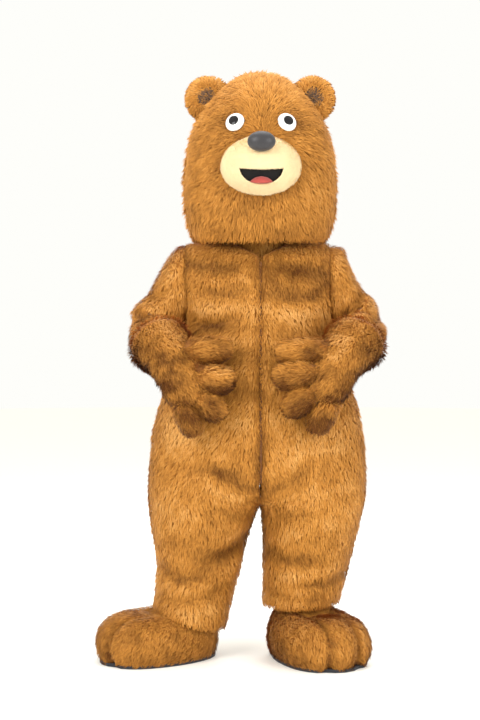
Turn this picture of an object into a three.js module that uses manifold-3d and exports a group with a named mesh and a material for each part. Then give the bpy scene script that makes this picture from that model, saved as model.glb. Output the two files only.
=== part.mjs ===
// A wearable bear costume, hollow and in the pose of its wearer: a one-piece fur suit closed by a
// front zip, a foam head under fur, two gloves and two shoe covers.
// Millimetres, +Z up, the costume faces -Y, and "left" and "right" are the wearer's.
// Heights in the tables are above the floor. The exported group moves them down by holdHeight, so
// that the origin is between the wearer's shoulders, which carry the suit.
import * as THREE from "three";
import { mergeVertices } from "three/addons/utils/BufferGeometryUtils.js";
import Module from "manifold-3d";

const wasm = await Module();
wasm.setup();

// Driving dimensions
const holdHeight = 1400; // the wearer's shoulders above the floor
const seamGap = 0.3; // between pieces that are sewn together
const furCloth = 5; // backing and packed underfur
const foamWall = 14; // foam shell of the head with its fur cloth
const faceWall = 9; // foam of the muzzle with its fleece
const meshCloth = 2; // black mesh behind the mouth
const forkTop = 700; // the centre seams start to curve under here
const forkBottom = 530; // the legs part here
const armholeTop = 1400;
const armholeBottom = 1120;
const armholeMid = (armholeTop + armholeBottom) / 2;
const armholeReach = { front: 92, back: 94 };
const neckNotch = { height: 1350, halfWidth: 124, rim: 1416 }; // V of the neckline
const zip = { opening: 605, bottom: 607, top: 1338, halfWidth: 5, chain: 4.6, thick: 3, sunk: 1 };
const panelColumns = 6;

// The body: half-widths to the wearer's right and left, depths to front and back, and how square
// the section is (2 is an ellipse).
const trunk = [
  { z: 480, right: 366, left: 352, front: 222, back: 232, square: 2.2 },
  { z: 620, right: 370, left: 354, front: 228, back: 238, square: 2.2 },
  { z: 700, right: 368, left: 352, front: 230, back: 238, square: 2.2 },
  { z: 780, right: 358, left: 341, front: 226, back: 230, square: 2.2 },
  { z: 860, right: 337, left: 323, front: 219, back: 217, square: 2.2 },
  { z: 930, right: 308, left: 298, front: 210, back: 203, square: 2.3 },
  { z: 1000, right: 282, left: 274, front: 199, back: 189, square: 2.3 },
  { z: 1060, right: 262, left: 254, front: 189, back: 177, square: 2.4 },
  { z: 1120, right: 250, left: 242, front: 180, back: 168, square: 2.4 },
  { z: 1190, right: 259, left: 247, front: 172, back: 164, square: 2.5 },
  { z: 1260, right: 268, left: 254, front: 164, back: 160, square: 2.6 },
  { z: 1320, right: 272, left: 257, front: 147, back: 150, square: 2.6 },
  { z: 1360, right: 268, left: 254, front: 122, back: 128, square: 2.5 },
  { z: 1386, right: 258, left: 244, front: 92, back: 98, square: 2.4 },
  { z: 1400, right: 236, left: 224, front: 72, back: 78, square: 2.3 },
  { z: 1407, right: 176, left: 170, front: 74, back: 80, square: 2.2 },
  { z: 1416, right: 134, left: 134, front: 82, back: 86, square: 2 },
  { z: 1438, right: 120, left: 120, front: 88, back: 90, square: 2 },
];

// A trouser leg: distances of its inseam and outer seam from the centre line, and its depths.
const legs = {
  right: [
    { z: 120, inner: 126, outer: 362, front: 158, back: 142 },
    { z: 216, inner: 100, outer: 346, front: 140, back: 146 },
    { z: 318, inner: 76, outer: 348, front: 145, back: 165 },
    { z: 420, inner: 44, outer: 362, front: 168, back: 190 },
    { z: 530, inner: 6, outer: 372, front: 200, back: 214 },
    { z: 700, inner: 6, outer: 372, front: 226, back: 236 },
  ],
  left: [
    { z: 180, inner: 14, outer: 264, front: 116, back: 152 },
    { z: 216, inner: 18, outer: 268, front: 118, back: 152 },
    { z: 318, inner: 17, outer: 298, front: 140, back: 172 },
    { z: 420, inner: 15, outer: 326, front: 168, back: 192 },
    { z: 530, inner: 6, outer: 350, front: 200, back: 214 },
    { z: 700, inner: 6, outer: 354, front: 226, back: 236 },
  ],
};

// Hems: height at the middle of the leg, and how far the hem rises towards the outer seam.
const hems = { right: { z: 136, rise: 34 }, left: { z: 182, rise: 3 } };

// A sleeve: centres of its rings out from the centre line, half-sizes across the arm and front to
// back, and the direction each ring faces, outwards, back and up. The armhole comes before the first
// ring. Rolls and pinches follow each other at the elbow.
const sleeves = {
  right: [
    { out: 278, y: 0, z: 1246, high: 140, deep: 102, toOut: 1, toY: 0, toZ: -0.1 },
    { out: 298, y: -2, z: 1207, high: 117, deep: 104, toOut: 0.97, toY: 0, toZ: -0.24 },
    { out: 314, y: -6, z: 1176, high: 92, deep: 96, toOut: 0.93, toY: -0.05, toZ: -0.36 },
    { out: 358, y: -16, z: 1121, high: 88, deep: 106, toOut: 0.55, toY: -0.25, toZ: -0.8 },
    { out: 353, y: -50, z: 1098, high: 72, deep: 92, toOut: 0.3, toY: -0.6, toZ: -0.75 },
    { out: 352, y: -86, z: 1086, high: 86, deep: 94, toOut: 0, toY: -0.8, toZ: -0.6 },
    { out: 344, y: -118, z: 1078, high: 77, deep: 82, toOut: -0.12, toY: -0.85, toZ: -0.52 },
    { out: 336, y: -148, z: 1070, high: 82, deep: 84, toOut: -0.2, toY: -0.85, toZ: -0.5 },
    { out: 323, y: -182, z: 1058, high: 73, deep: 73, toOut: -0.3, toY: -0.82, toZ: -0.48 },
    { out: 306, y: -214, z: 1042, high: 60, deep: 58, toOut: -0.38, toY: -0.76, toZ: -0.53 },
  ],
  left: [
    { out: 266, y: 0, z: 1246, high: 140, deep: 101, toOut: 1, toY: 0, toZ: -0.05 },
    { out: 283, y: -2, z: 1208, high: 114, deep: 102, toOut: 0.99, toY: 0, toZ: -0.15 },
    { out: 299, y: -6, z: 1176, high: 94, deep: 96, toOut: 0.97, toY: -0.05, toZ: -0.24 },
    { out: 333, y: -16, z: 1140, high: 92, deep: 104, toOut: 0.78, toY: -0.2, toZ: -0.59 },
    { out: 336, y: -46, z: 1104, high: 73, deep: 92, toOut: 0.4, toY: -0.55, toZ: -0.73 },
    { out: 334, y: -84, z: 1088, high: 82, deep: 94, toOut: 0.08, toY: -0.8, toZ: -0.6 },
    { out: 327, y: -118, z: 1079, high: 74, deep: 82, toOut: -0.1, toY: -0.85, toZ: -0.52 },
    { out: 317, y: -148, z: 1071, high: 78, deep: 82, toOut: -0.2, toY: -0.85, toZ: -0.5 },
    { out: 303, y: -180, z: 1061, high: 70, deep: 72, toOut: -0.3, toY: -0.82, toZ: -0.48 },
    { out: 286, y: -210, z: 1047, high: 58, deep: 58, toOut: -0.38, toY: -0.76, toZ: -0.53 },
  ],
};

// A glove's hand from cuff to knuckles: half-sizes across the hand and through it.
const hands = {
  right: [
    { out: 330, y: -168, z: 1064, high: 93, deep: 93, toOut: -0.3, toY: -0.82, toZ: -0.48 },
    { out: 314, y: -204, z: 1048, high: 84, deep: 82, toOut: -0.36, toY: -0.76, toZ: -0.55 },
    { out: 294, y: -240, z: 1022, high: 74, deep: 68, toOut: -0.45, toY: -0.6, toZ: -0.68 },
    { out: 272, y: -262, z: 988, high: 70, deep: 56, toOut: -0.5, toY: -0.35, toZ: -0.8 },
    { out: 250, y: -274, z: 950, high: 72, deep: 50, toOut: -0.5, toY: -0.2, toZ: -0.84 },
    { out: 230, y: -278, z: 915, high: 66, deep: 46, toOut: -0.5, toY: -0.05, toZ: -0.86 },
    { out: 216, y: -279, z: 890, high: 40, deep: 30, toOut: -0.5, toY: 0, toZ: -0.86 },
  ],
  left: [
    { out: 310, y: -166, z: 1068, high: 92, deep: 92, toOut: -0.3, toY: -0.82, toZ: -0.48 },
    { out: 292, y: -202, z: 1052, high: 84, deep: 82, toOut: -0.36, toY: -0.76, toZ: -0.55 },
    { out: 267, y: -238, z: 1028, high: 74, deep: 68, toOut: -0.45, toY: -0.6, toZ: -0.68 },
    { out: 242, y: -262, z: 996, high: 72, deep: 56, toOut: -0.5, toY: -0.35, toZ: -0.8 },
    { out: 218, y: -274, z: 958, high: 74, deep: 50, toOut: -0.5, toY: -0.2, toZ: -0.84 },
    { out: 198, y: -278, z: 922, high: 66, deep: 46, toOut: -0.5, toY: -0.05, toZ: -0.86 },
    { out: 186, y: -279, z: 896, high: 40, deep: 30, toOut: -0.5, toY: 0, toZ: -0.86 },
  ],
};

// Digits: from the middle of the root to the middle of the tip, with radii at both.
const digits = {
  right: {
    thumb: { from: [262, -262, 1030], to: [142, -262, 1046], root: 31, tip: 30 },
    finger_1: { from: [216, -278, 956], to: [134, -300, 951], root: 32, tip: 34 },
    finger_2: { from: [206, -282, 908], to: [156, -288, 862], root: 30, tip: 30 },
    finger_3: { from: [252, -276, 908], to: [226, -270, 816], root: 31, tip: 30 },
  },
  left: {
    thumb: { from: [228, -262, 1034], to: [96, -266, 1040], root: 32, tip: 31 },
    finger_1: { from: [184, -278, 966], to: [88, -292, 962], root: 33, tip: 34 },
    finger_2: { from: [172, -281, 914], to: [112, -292, 874], root: 31, tip: 32 },
    finger_3: { from: [218, -276, 912], to: [188, -272, 824], root: 31, tip: 31 },
  },
};

// A shoe cover from the sole's edge up to the ankle, in its own frame with the toes along +X:
// reach of the toes and heel, half-width, where it is widest, and the edge's height at each.
const shoeRows = [
  { toe: 312, heel: 90, width: 132, widest: 140, toeZ: 10, sideZ: 10, heelZ: 10 },
  { toe: 334, heel: 102, width: 148, widest: 145, toeZ: 44, sideZ: 40, heelZ: 42 },
  { toe: 332, heel: 104, width: 148, widest: 145, toeZ: 92, sideZ: 84, heelZ: 84 },
  { toe: 302, heel: 102, width: 134, widest: 138, toeZ: 136, sideZ: 122, heelZ: 118 },
  { toe: 246, heel: 98, width: 108, widest: 112, toeZ: 160, sideZ: 144, heelZ: 142 },
  { toe: 184, heel: 92, width: 90, widest: 76, toeZ: 155, sideZ: 152, heelZ: 162 },
  { toe: 126, heel: 88, width: 80, widest: 32, toeZ: 142, sideZ: 162, heelZ: 178 },
  { toe: 92, heel: 82, width: 77, widest: 5, toeZ: 178, sideZ: 186, heelZ: 194 },
];
const toeGrooves = { angles: [-0.42, 0.42], spread: 0.16, depth: 0.05 };
const shoes = {
  right: { out: 246, y: 6, outward: 63 },
  left: { out: 138, y: 34, outward: 26 },
};
const sole = { thick: 9.5, lip: 4 };

// The head: a rounded foam shell, open below.
const headRows = [
  { z: 1408, width: 204, front: 186, back: 188 },
  { z: 1426, width: 222, front: 206, back: 208 },
  { z: 1462, width: 237, front: 224, back: 226 },
  { z: 1512, width: 245, front: 236, back: 237 },
  { z: 1570, width: 248, front: 242, back: 242 },
  { z: 1630, width: 247, front: 243, back: 243 },
  { z: 1690, width: 241, front: 237, back: 239 },
  { z: 1750, width: 229, front: 224, back: 228 },
  { z: 1806, width: 208, front: 203, back: 209 },
  { z: 1856, width: 178, front: 173, back: 181 },
  { z: 1900, width: 139, front: 134, back: 143 },
  { z: 1934, width: 98, front: 90, back: 98 },
  { z: 1955, width: 64, front: 46, back: 52 },
  { z: 1963, width: 40, front: 0, back: 0 },
];
const headColumns = 10;
const neckRows = [
  { z: 1325, width: 122, front: 84, back: 86 },
  { z: 1365, width: 114, front: 80, back: 82 },
  { z: 1405, width: 106, front: 70, back: 72 },
  { z: 1450, width: 104, front: 74, back: 76 },
];
const ear = { out: 176, y: 6, z: 1888, radius: 74, thick: 27, lean: 38, inner: 46 };
const muzzle = { y: -214, z: 1640, width: 132, height: 98, deep: 108 };
const mouth = { z: 1622, width: 72, drop: 46, corner: 6 };
const nose = { y: -322, z: 1708, width: 47, height: 33, deep: 30 };
const eye = { out: 84, z: 1784, radius: 33, bulge: 15, pupil: 17, pupilThick: 1.6 };

// A row of a table at any value of its key, along a smooth curve through its rows.
function rowAt(table, key, value) {
  const last = table.length - 1;
  let i = 0;
  while (i < last - 1 && value > table[i + 1][key]) i++;
  const [a, b] = [table[i], table[i + 1]];
  const span = b[key] - a[key];
  const t = THREE.MathUtils.clamp((value - a[key]) / span, 0, 1);
  const slope = (k, name) => {
    const [p, q] = [table[Math.max(k - 1, 0)], table[Math.min(k + 1, last)]];
    return (q[name] - p[name]) / (q[key] - p[key]);
  };
  const row = {};
  for (const name of Object.keys(a)) {
    const [m0, m1] = [slope(i, name) * span, slope(i + 1, name) * span];
    const [t2, t3] = [t * t, t * t * t];
    row[name] =
      (2 * t3 - 3 * t2 + 1) * a[name] +
      (t3 - 2 * t2 + t) * m0 +
      (3 * t2 - 2 * t3) * b[name] +
      (t3 - t2) * m1;
  }
  return row;
}

const numbered = (table) => table.map((row, i) => ({ ...row, i }));
const steps = (from, to, count) =>
  Array.from({ length: count + 1 }, (_, i) => from + ((to - from) * i) / count);
const smooth = (t) => t * t * (3 - 2 * t);
const power = (value, exponent) => Math.sign(value) * Math.abs(value) ** exponent;

// The wall of cloth over a grid of places on a surface. point(u, v) gives the outer face, and turn
// is -1 where a step in u and a step in v make a normal that points inwards.
function cloth(us, vs, point, { wall, turn = 1, wrap = false, spanU = 1, spanV = 1 }) {
  const [stepU, stepV] = [spanU * 1e-3, spanV * 1e-3];
  const [lastU, lastV] = [us.at(-1), vs.at(-1)];
  const outer = [];
  const inner = [];
  for (const v of vs) {
    const [v0, v1] = [Math.max(v - stepV, vs[0]), Math.min(v + stepV, lastV)];
    const ring = us.map((u) => point(u, v));
    outer.push(ring);
    inner.push(
      us.map((u, j) => {
        const [u0, u1] = wrap
          ? [u - stepU, u + stepU]
          : [Math.max(u - stepU, us[0]), Math.min(u + stepU, lastU)];
        const along = point(u1, v).sub(point(u0, v));
        const up = point(u, v1).sub(point(u, v0));
        const normal = along.cross(up).normalize().multiplyScalar(turn);
        return ring[j].clone().addScaledVector(normal, -wall);
      }),
    );
  }
  return { outer, inner };
}

// Moves one edge of a panel in from its seam, along its own rows.
function inset(panel, atEnd, distanceOf) {
  for (const grid of [panel.outer, panel.inner])
    grid.forEach((row, i) => {
      const [edge, next] = atEnd ? [row.at(-1), row.at(-2)] : [row[0], row[1]];
      const away = next.clone().sub(edge).normalize();
      edge.addScaledVector(away, distanceOf(i));
    });
}

// The closed solid of a wall. wrap joins the last column to the first, and capped closes the far
// end over a point.
function wallGeometry({ outer, inner }, { wrap = false, capped = false } = {}) {
  const [rows, columns] = [outer.length, outer[0].length];
  const points = [...outer.flat(), ...inner.flat()];
  const id = (layer, i, j) => (layer * rows + i) * columns + (j % columns);
  const triangles = [];
  const quad = (a, b, c, d) => triangles.push([a, b, c], [a, c, d]);
  for (let i = 0; i < rows - 1; i++)
    for (let j = 0; j < columns - (wrap ? 0 : 1); j++) {
      quad(id(0, i, j), id(0, i, j + 1), id(0, i + 1, j + 1), id(0, i + 1, j));
      quad(id(1, i, j), id(1, i + 1, j), id(1, i + 1, j + 1), id(1, i, j + 1));
    }
  for (let j = 0; j < columns - (wrap ? 0 : 1); j++) {
    quad(id(0, 0, j + 1), id(0, 0, j), id(1, 0, j), id(1, 0, j + 1));
    const end = rows - 1;
    if (!capped) quad(id(0, end, j), id(0, end, j + 1), id(1, end, j + 1), id(1, end, j));
  }
  if (!wrap)
    for (let i = 0; i < rows - 1; i++) {
      const end = columns - 1;
      quad(id(0, i, 0), id(0, i + 1, 0), id(1, i + 1, 0), id(1, i, 0));
      quad(id(0, i + 1, end), id(0, i, end), id(1, i, end), id(1, i + 1, end));
    }
  if (capped)
    [capped.outer, capped.inner].forEach((apex, layer) => {
      points.push(apex);
      for (let j = 0; j < columns; j++) {
        const edge = [id(layer, rows - 1, j), id(layer, rows - 1, j + 1)];
        triangles.push([...(layer ? edge.reverse() : edge), points.length - 1]);
      }
    });
  return closedGeometry(points, triangles);
}

// Turns the faces outwards if they point in.
function closedGeometry(points, triangles) {
  let volume = 0;
  for (const [a, b, c] of triangles)
    volume += points[a].dot(points[b].clone().cross(points[c]));
  const index = triangles.flatMap(([a, b, c]) => (volume < 0 ? [a, c, b] : [a, b, c]));
  const geometry = new THREE.BufferGeometry().setFromPoints(points);
  geometry.setIndex(index);
  return geometry;
}

// Cutting and joining
function toSolid(geometry) {
  const bare = geometry.clone();
  bare.deleteAttribute("normal");
  bare.deleteAttribute("uv");
  const merged = mergeVertices(bare, 1e-3);
  const mesh = new wasm.Mesh({
    numProp: 3,
    vertProperties: merged.attributes.position.array,
    triVerts: new Uint32Array(merged.index.array),
  });
  return new wasm.Manifold(mesh);
}

function fromSolid(solid) {
  const mesh = solid.getMesh();
  const geometry = new THREE.BufferGeometry();
  geometry.setAttribute("position", new THREE.BufferAttribute(mesh.vertProperties, 3));
  geometry.setIndex(new THREE.BufferAttribute(mesh.triVerts, 1));
  return geometry;
}

function cut(geometry, ...cutters) {
  let solid = toSolid(geometry);
  for (const cutter of cutters) solid = solid.subtract(toSolid(cutter));
  return fromSolid(solid);
}

const common = (a, b) => fromSolid(toSolid(a).intersect(toSolid(b)));

// Materials
const finish = (color, roughness) =>
  new THREE.MeshStandardMaterial({ color, roughness, metalness: 0 });
const materials = {
  fur: finish(0xa96a2c, 0.9),
  inner_ear_fur: finish(0x6e4a2c, 0.9),
  muzzle_fleece: finish(0xf3dcae, 0.95),
  black_mesh: finish(0x15120f, 0.8),
  nose_foam: finish(0x2b2a2b, 0.45),
  eye_white: finish(0xf6f6f4, 0.3),
  pupil_black: finish(0x2c2a2c, 0.35),
  tongue_felt: finish(0xb4564e, 0.9),
  sole_rubber: finish(0x2c2d31, 0.7),
  zip_brown: finish(0x4a2c14, 0.6),
};

const costume = new THREE.Group();
costume.position.z = -holdHeight;

function add(name, geometry, material) {
  const mesh = new THREE.Mesh(geometry, materials[material]);
  mesh.name = name;
  costume.add(mesh);
  return mesh;
}

// The suit. around runs from the centre front (or the inseam) at 0 over the side seam at 0.5 to the
// centre back (or the inseam again) at 1.
const sides = [
  { name: "right", sign: -1 },
  { name: "left", sign: 1 },
];

function trunkPoint(side, z, around) {
  const row = rowAt(trunk, "z", z);
  const angle = (around - 0.5) * Math.PI;
  const [c, s] = [Math.cos(angle), Math.sin(angle)].map((x) => power(x, 2 / row.square));
  return new THREE.Vector3(side.sign * row[side.name] * c, s * (s < 0 ? row.front : row.back), z);
}

function legPoint(side, z, around) {
  const row = rowAt(legs[side.name], "z", z);
  const angle = around * 2 * Math.PI;
  const across = (row.outer + row.inner) / 2 - ((row.outer - row.inner) / 2) * Math.cos(angle);
  const middle = (row.back - row.front) / 2;
  const depth = (row.back + row.front) / 2;
  return new THREE.Vector3(side.sign * across, middle - depth * Math.sin(angle), z);
}

function suitPoint(side, z, around) {
  if (z >= forkTop) return trunkPoint(side, z, around);
  const share = Math.min((forkTop - z) / (forkTop - forkBottom), 1);
  const crotch = Math.cos(around * Math.PI) ** 4;
  const turned = THREE.MathUtils.lerp(smooth(share), 1 - Math.sqrt(1 - share * share), crotch);
  const point = trunkPoint(side, Math.max(z, forkBottom), around);
  point.lerp(legPoint(side, z, around), turned);
  const hem = hems[side.name];
  const low = THREE.MathUtils.clamp((forkBottom - z) / (forkBottom - hem.z), 0, 1);
  const leg = rowAt(legs[side.name], "z", z);
  const across = Math.abs(point.x) - (leg.outer + leg.inner) / 2;
  point.z += (low * low * hem.rise * across) / ((leg.outer - leg.inner) / 2);
  return point;
}

// How far round a half of the trunk the armhole's edge is, at one height.
function armholeEdge(side, z, face) {
  const height = (z - armholeMid) / (armholeTop - armholeMid);
  if (Math.abs(height) >= 1) return 0.5;
  const row = rowAt(trunk, "z", z);
  const depth = armholeReach[face] * Math.sqrt(1 - height * height);
  const angle = Math.asin((depth / row[face]) ** (row.square / 2)) / Math.PI;
  return face === "front" ? 0.5 - angle : 0.5 + angle;
}

const armholeHeights = [armholeBottom, 1142, 1192, armholeMid, 1328, 1376, armholeTop];
const trunkHeights = [700, 800, 900, 985, 1060, ...armholeHeights, 1407, 1416, 1438];
const forkHeights = [530, 537, 560, 605];
const legShares = steps(0, 1, 5).slice(0, -1);

function suitHeights(side) {
  const hem = hems[side.name].z;
  return [...legShares.map((t) => hem + t * (forkBottom - hem)), ...forkHeights, ...trunkHeights];
}

function bodyPanel(side, face) {
  const heights = suitHeights(side);
  const start = face === "front" ? 0 : 1;
  const place = (u, z) => suitPoint(side, z, start + u * (armholeEdge(side, z, face) - start));
  const panel = cloth(steps(0, 1, panelColumns), heights, place, {
    wall: furCloth,
    turn: side.sign * (face === "front" ? 1 : -1),
    spanV: 400,
  });
  const armhole = panel.outer
    .map((row) => row.at(-1).clone())
    .filter(({ z }) => z >= armholeBottom && z <= armholeTop);
  const zipped = (z) => face === "front" && z >= zip.opening;
  inset(panel, false, (i) => (zipped(heights[i]) ? zip.halfWidth : seamGap / 2));
  inset(panel, true, () => seamGap / 2);
  return { panel, armhole };
}

// The wedge that opens the neckline in a V.
function neckWedge() {
  const { height, halfWidth, rim } = neckNotch;
  const outline = new THREE.Shape([
    new THREE.Vector2(0, height),
    new THREE.Vector2(halfWidth, rim),
    new THREE.Vector2(halfWidth, rim + 60),
    new THREE.Vector2(-halfWidth, rim + 60),
    new THREE.Vector2(-halfWidth, rim),
  ]);
  const wedge = new THREE.ExtrudeGeometry(outline, { depth: 240, bevelEnabled: false });
  return wedge.rotateX(Math.PI / 2);
}

// A point of a ring. The first of each ring is on the side that guide points to.
function ringPoint(table, side, guide, t, turn) {
  const row = rowAt(table, "i", t);
  const along = new THREE.Vector3(side.sign * row.toOut, row.toY, row.toZ).normalize();
  const high = guide.clone().addScaledVector(along, -guide.dot(along)).normalize();
  const deep = along.clone().cross(high).multiplyScalar(side.sign);
  const angle = turn * 2 * Math.PI;
  return new THREE.Vector3(side.sign * row.out, row.y, row.z)
    .addScaledVector(high, row.high * Math.cos(angle))
    .addScaledVector(deep, row.deep * Math.sin(angle));
}

function middleOf(ring) {
  return ring.reduce((sum, p) => sum.add(p), new THREE.Vector3()).divideScalar(ring.length);
}

function sleeveGeometry(side, frontEdge, backEdge) {
  const table = numbered(sleeves[side.name]);
  const guide = new THREE.Vector3(side.sign, 0, 1).normalize();
  const columns = 2 * (frontEdge.length - 1);
  const turns = steps(0, 1, columns).slice(0, -1);
  const rings = table.map((row) => row.i);
  const tube = cloth(turns, rings, (u, t) => ringPoint(table, side, guide, t, u), {
    wall: furCloth,
    turn: side.sign,
    wrap: true,
    spanV: 10,
  });
  const edge = [...frontEdge].reverse().concat(backEdge.slice(1, -1));
  for (const point of edge) point.x += side.sign * seamGap;
  const middle = middleOf(edge);
  const inwards = (point) => middle.clone().sub(point).setX(0).normalize().multiplyScalar(furCloth);
  tube.outer.unshift(edge);
  tube.inner.unshift(edge.map((point) => point.clone().add(inwards(point))));
  return wallGeometry(tube, { wrap: true });
}

const wedge = neckWedge();
for (const side of sides) {
  const front = bodyPanel(side, "front");
  const back = bodyPanel(side, "back");
  add(`front_${side.name}`, cut(wallGeometry(front.panel), wedge), "fur");
  add(`back_${side.name}`, wallGeometry(back.panel), "fur");
  add(`sleeve_${side.name}`, sleeveGeometry(side, front.armhole, back.armhole), "fur");
}

// The zip: its closed chain between the two fronts, and the slider at the top of it.
const frontCentre = (z) => suitPoint(sides[1], z, 0).setX(0);

function zipGeometry() {
  const heights = [zip.bottom, ...suitHeights(sides[1]).filter((z) => z > zip.bottom && z < zip.top), zip.top];
  const place = (x, z) => {
    const up = frontCentre(z + 1).sub(frontCentre(z - 1));
    const out = new THREE.Vector3(0, -up.z, up.y).normalize();
    return frontCentre(z).addScaledVector(out, -zip.sunk).setX(x);
  };
  return wallGeometry(cloth([-zip.chain, zip.chain], heights, place, { wall: zip.thick, spanV: 400 }));
}

function sliderGeometry() {
  const outline = new THREE.Shape()
    .moveTo(-2.6, -8)
    .lineTo(2.6, -8)
    .lineTo(4.4, 4)
    .quadraticCurveTo(4.4, 8, 0, 8)
    .quadraticCurveTo(-4.4, 8, -4.4, 4);
  const body = new THREE.ExtrudeGeometry(outline, { depth: 3.5, bevelEnabled: false, curveSegments: 5 });
  return body.rotateX(Math.PI / 2);
}

add("zip", zipGeometry(), "zip_brown");
const slider = add("zip_slider", sliderGeometry(), "zip_brown");
const sliderZ = zip.top - 12;
const sliderSlope = frontCentre(sliderZ + 8).sub(frontCentre(sliderZ - 8));
slider.position.copy(frontCentre(sliderZ)).y -= 0.4;
slider.rotation.x = -Math.atan2(sliderSlope.y, sliderSlope.z);

// Gloves: a hand open at the cuff, and four digits whose hollows open into it.
function capsule(from, to, root, tip, rings, columns) {
  const axis = to.clone().sub(from);
  const length = axis.length();
  const profile = [];
  for (let k = 0; k <= rings; k++) {
    const angle = (k / rings) * (Math.PI / 2);
    profile.push(new THREE.Vector2(tip * Math.cos(angle), length + tip * Math.sin(angle)));
  }
  profile.at(-1).x = 0;
  profile.unshift(new THREE.Vector2(0, 0), new THREE.Vector2(root, 0));
  const shape = new THREE.LatheGeometry(profile, columns);
  shape.applyQuaternion(
    new THREE.Quaternion().setFromUnitVectors(new THREE.Vector3(0, 1, 0), axis.normalize()),
  );
  return shape.translate(from.x, from.y, from.z);
}

function gloveParts(side) {
  const table = numbered(hands[side.name]);
  const guide = new THREE.Vector3(side.sign, 0, 0.9).normalize();
  const turns = steps(0, 1, 10).slice(0, -1);
  const rings = table.map((row) => row.i);
  const skin = cloth(turns, rings, (u, t) => ringPoint(table, side, guide, t, u), {
    wall: furCloth,
    turn: side.sign,
    wrap: true,
    spanV: 10,
  });
  const end = table.at(-1);
  const reach = (distance) => {
    const before = table.at(-2);
    const tip = new THREE.Vector3(side.sign * end.out, end.y, end.z);
    const root = new THREE.Vector3(side.sign * before.out, before.y, before.z);
    return tip.clone().addScaledVector(tip.clone().sub(root).normalize(), distance);
  };
  const hand = wallGeometry(skin, { wrap: true, capped: { outer: reach(10), inner: reach(4) } });
  const handBlock = solidInside(skin.outer, reach(10 + seamGap), 0.35);
  const parts = {};
  let palm = toSolid(hand);
  for (const [name, digit] of Object.entries(digits[side.name])) {
    const [from, to] = [digit.from, digit.to].map(
      ([out, y, z]) => new THREE.Vector3(side.sign * out, y, z),
    );
    const outer = capsule(from, to, digit.root, digit.tip, 2, 7);
    const room = capsule(from, to, digit.root + seamGap, digit.tip + seamGap, 2, 7);
    const hollow = capsule(from, to, digit.root - furCloth, digit.tip - furCloth, 2, 7);
    parts[name] = { outer, hollow, room };
    palm = palm.subtract(toSolid(hollow));
  }
  const bare = Object.entries(parts).map(([name, { outer, hollow }], k, all) => {
    let solid = toSolid(outer).subtract(toSolid(hollow)).subtract(handBlock);
    for (const [, before] of all.slice(0, k)) solid = solid.subtract(toSolid(before.room));
    return [name, fromSolid(solid)];
  });
  return { hand: fromSolid(palm), digits: bare };
}

// The full solid inside a tube's outer face, grown a little, to cut a neighbour back with.
function solidInside(rings, apex, grow) {
  const grown = rings.map((ring) => {
    const centre = middleOf(ring);
    return ring.map((p) => p.clone().addScaledVector(p.clone().sub(centre).normalize(), grow));
  });
  const columns = rings[0].length;
  const points = grown.flat();
  points.push(middleOf(grown[0]), apex);
  const [start, tip] = [points.length - 2, points.length - 1];
  const triangles = [];
  for (let j = 0; j < columns; j++) {
    const k = (j + 1) % columns;
    triangles.push([k, j, start]);
    for (let i = 0; i < rings.length - 1; i++) {
      const [a, b, c, d] = [i * columns + j, i * columns + k, (i + 1) * columns + k, (i + 1) * columns + j];
      triangles.push([a, b, c], [a, c, d]);
    }
    const base = (rings.length - 1) * columns;
    triangles.push([base + j, base + k, tip]);
  }
  return toSolid(closedGeometry(points, triangles));
}

for (const side of sides) {
  const glove = gloveParts(side);
  add(`glove_${side.name}_hand`, glove.hand, "fur");
  for (const [name, geometry] of glove.digits) add(`glove_${side.name}_${name}`, geometry, "fur");
}

// Shoe covers
function shoePoint(side, t, turn) {
  const row = rowAt(numbered(shoeRows), "i", t);
  const angle = turn * 2 * Math.PI;
  const [c, s] = [Math.cos(angle), Math.sin(angle)];
  const groove = toeGrooves.angles.reduce((sum, at) => {
    const off = (Math.atan2(s, c) - at) / toeGrooves.spread;
    return sum + Math.exp(-off * off);
  }, 0);
  const pinch = 1 - toeGrooves.depth * groove * (row.toe > 200 ? 1 : 0);
  const along = row.widest + (c > 0 ? (row.toe - row.widest) * power(c, 0.8) : (row.widest + row.heel) * c);
  const edgeZ = c > 0 ? row.toeZ : row.heelZ;
  const local = new THREE.Vector3(
    along * pinch,
    row.width * power(s, 0.9) * side.sign,
    row.sideZ + (edgeZ - row.sideZ) * c * c,
  );
  const shoe = shoes[side.name];
  const heading = -Math.PI / 2 + side.sign * THREE.MathUtils.degToRad(shoe.outward);
  local.applyAxisAngle(new THREE.Vector3(0, 0, 1), heading);
  return local.add(new THREE.Vector3(side.sign * shoe.out, shoe.y, 0));
}

function soleGeometry(side) {
  const turns = steps(0, 1, 28).slice(0, -1);
  const ring = turns.map((u) => shoePoint(side, 0, u));
  const centre = middleOf(ring);
  const outline = ring.map((p) => {
    const out = p.clone().sub(centre).setZ(0).normalize().multiplyScalar(sole.lip);
    return new THREE.Vector2(p.x + out.x, p.y + out.y);
  });
  return new THREE.ExtrudeGeometry(new THREE.Shape(outline), { depth: sole.thick, bevelEnabled: false });
}

for (const side of sides) {
  const turns = steps(0, 1, 16).slice(0, -1);
  const rows = shoeRows.map((_, i) => i);
  const upper = cloth(turns, rows, (u, t) => shoePoint(side, t, u), {
    wall: furCloth,
    turn: side.sign,
    wrap: true,
    spanV: 8,
  });
  add(`shoe_${side.name}_upper`, wallGeometry(upper, { wrap: true }), "fur");
  add(`shoe_${side.name}_sole`, soleGeometry(side), "sole_rubber");
}

// The head
function headPoint(table, turn, z) {
  const row = rowAt(table, "z", z);
  const angle = turn * 2 * Math.PI;
  const s = Math.sin(angle);
  return new THREE.Vector3(row.width * Math.cos(angle), s * (s < 0 ? row.front : row.back), z);
}

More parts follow.
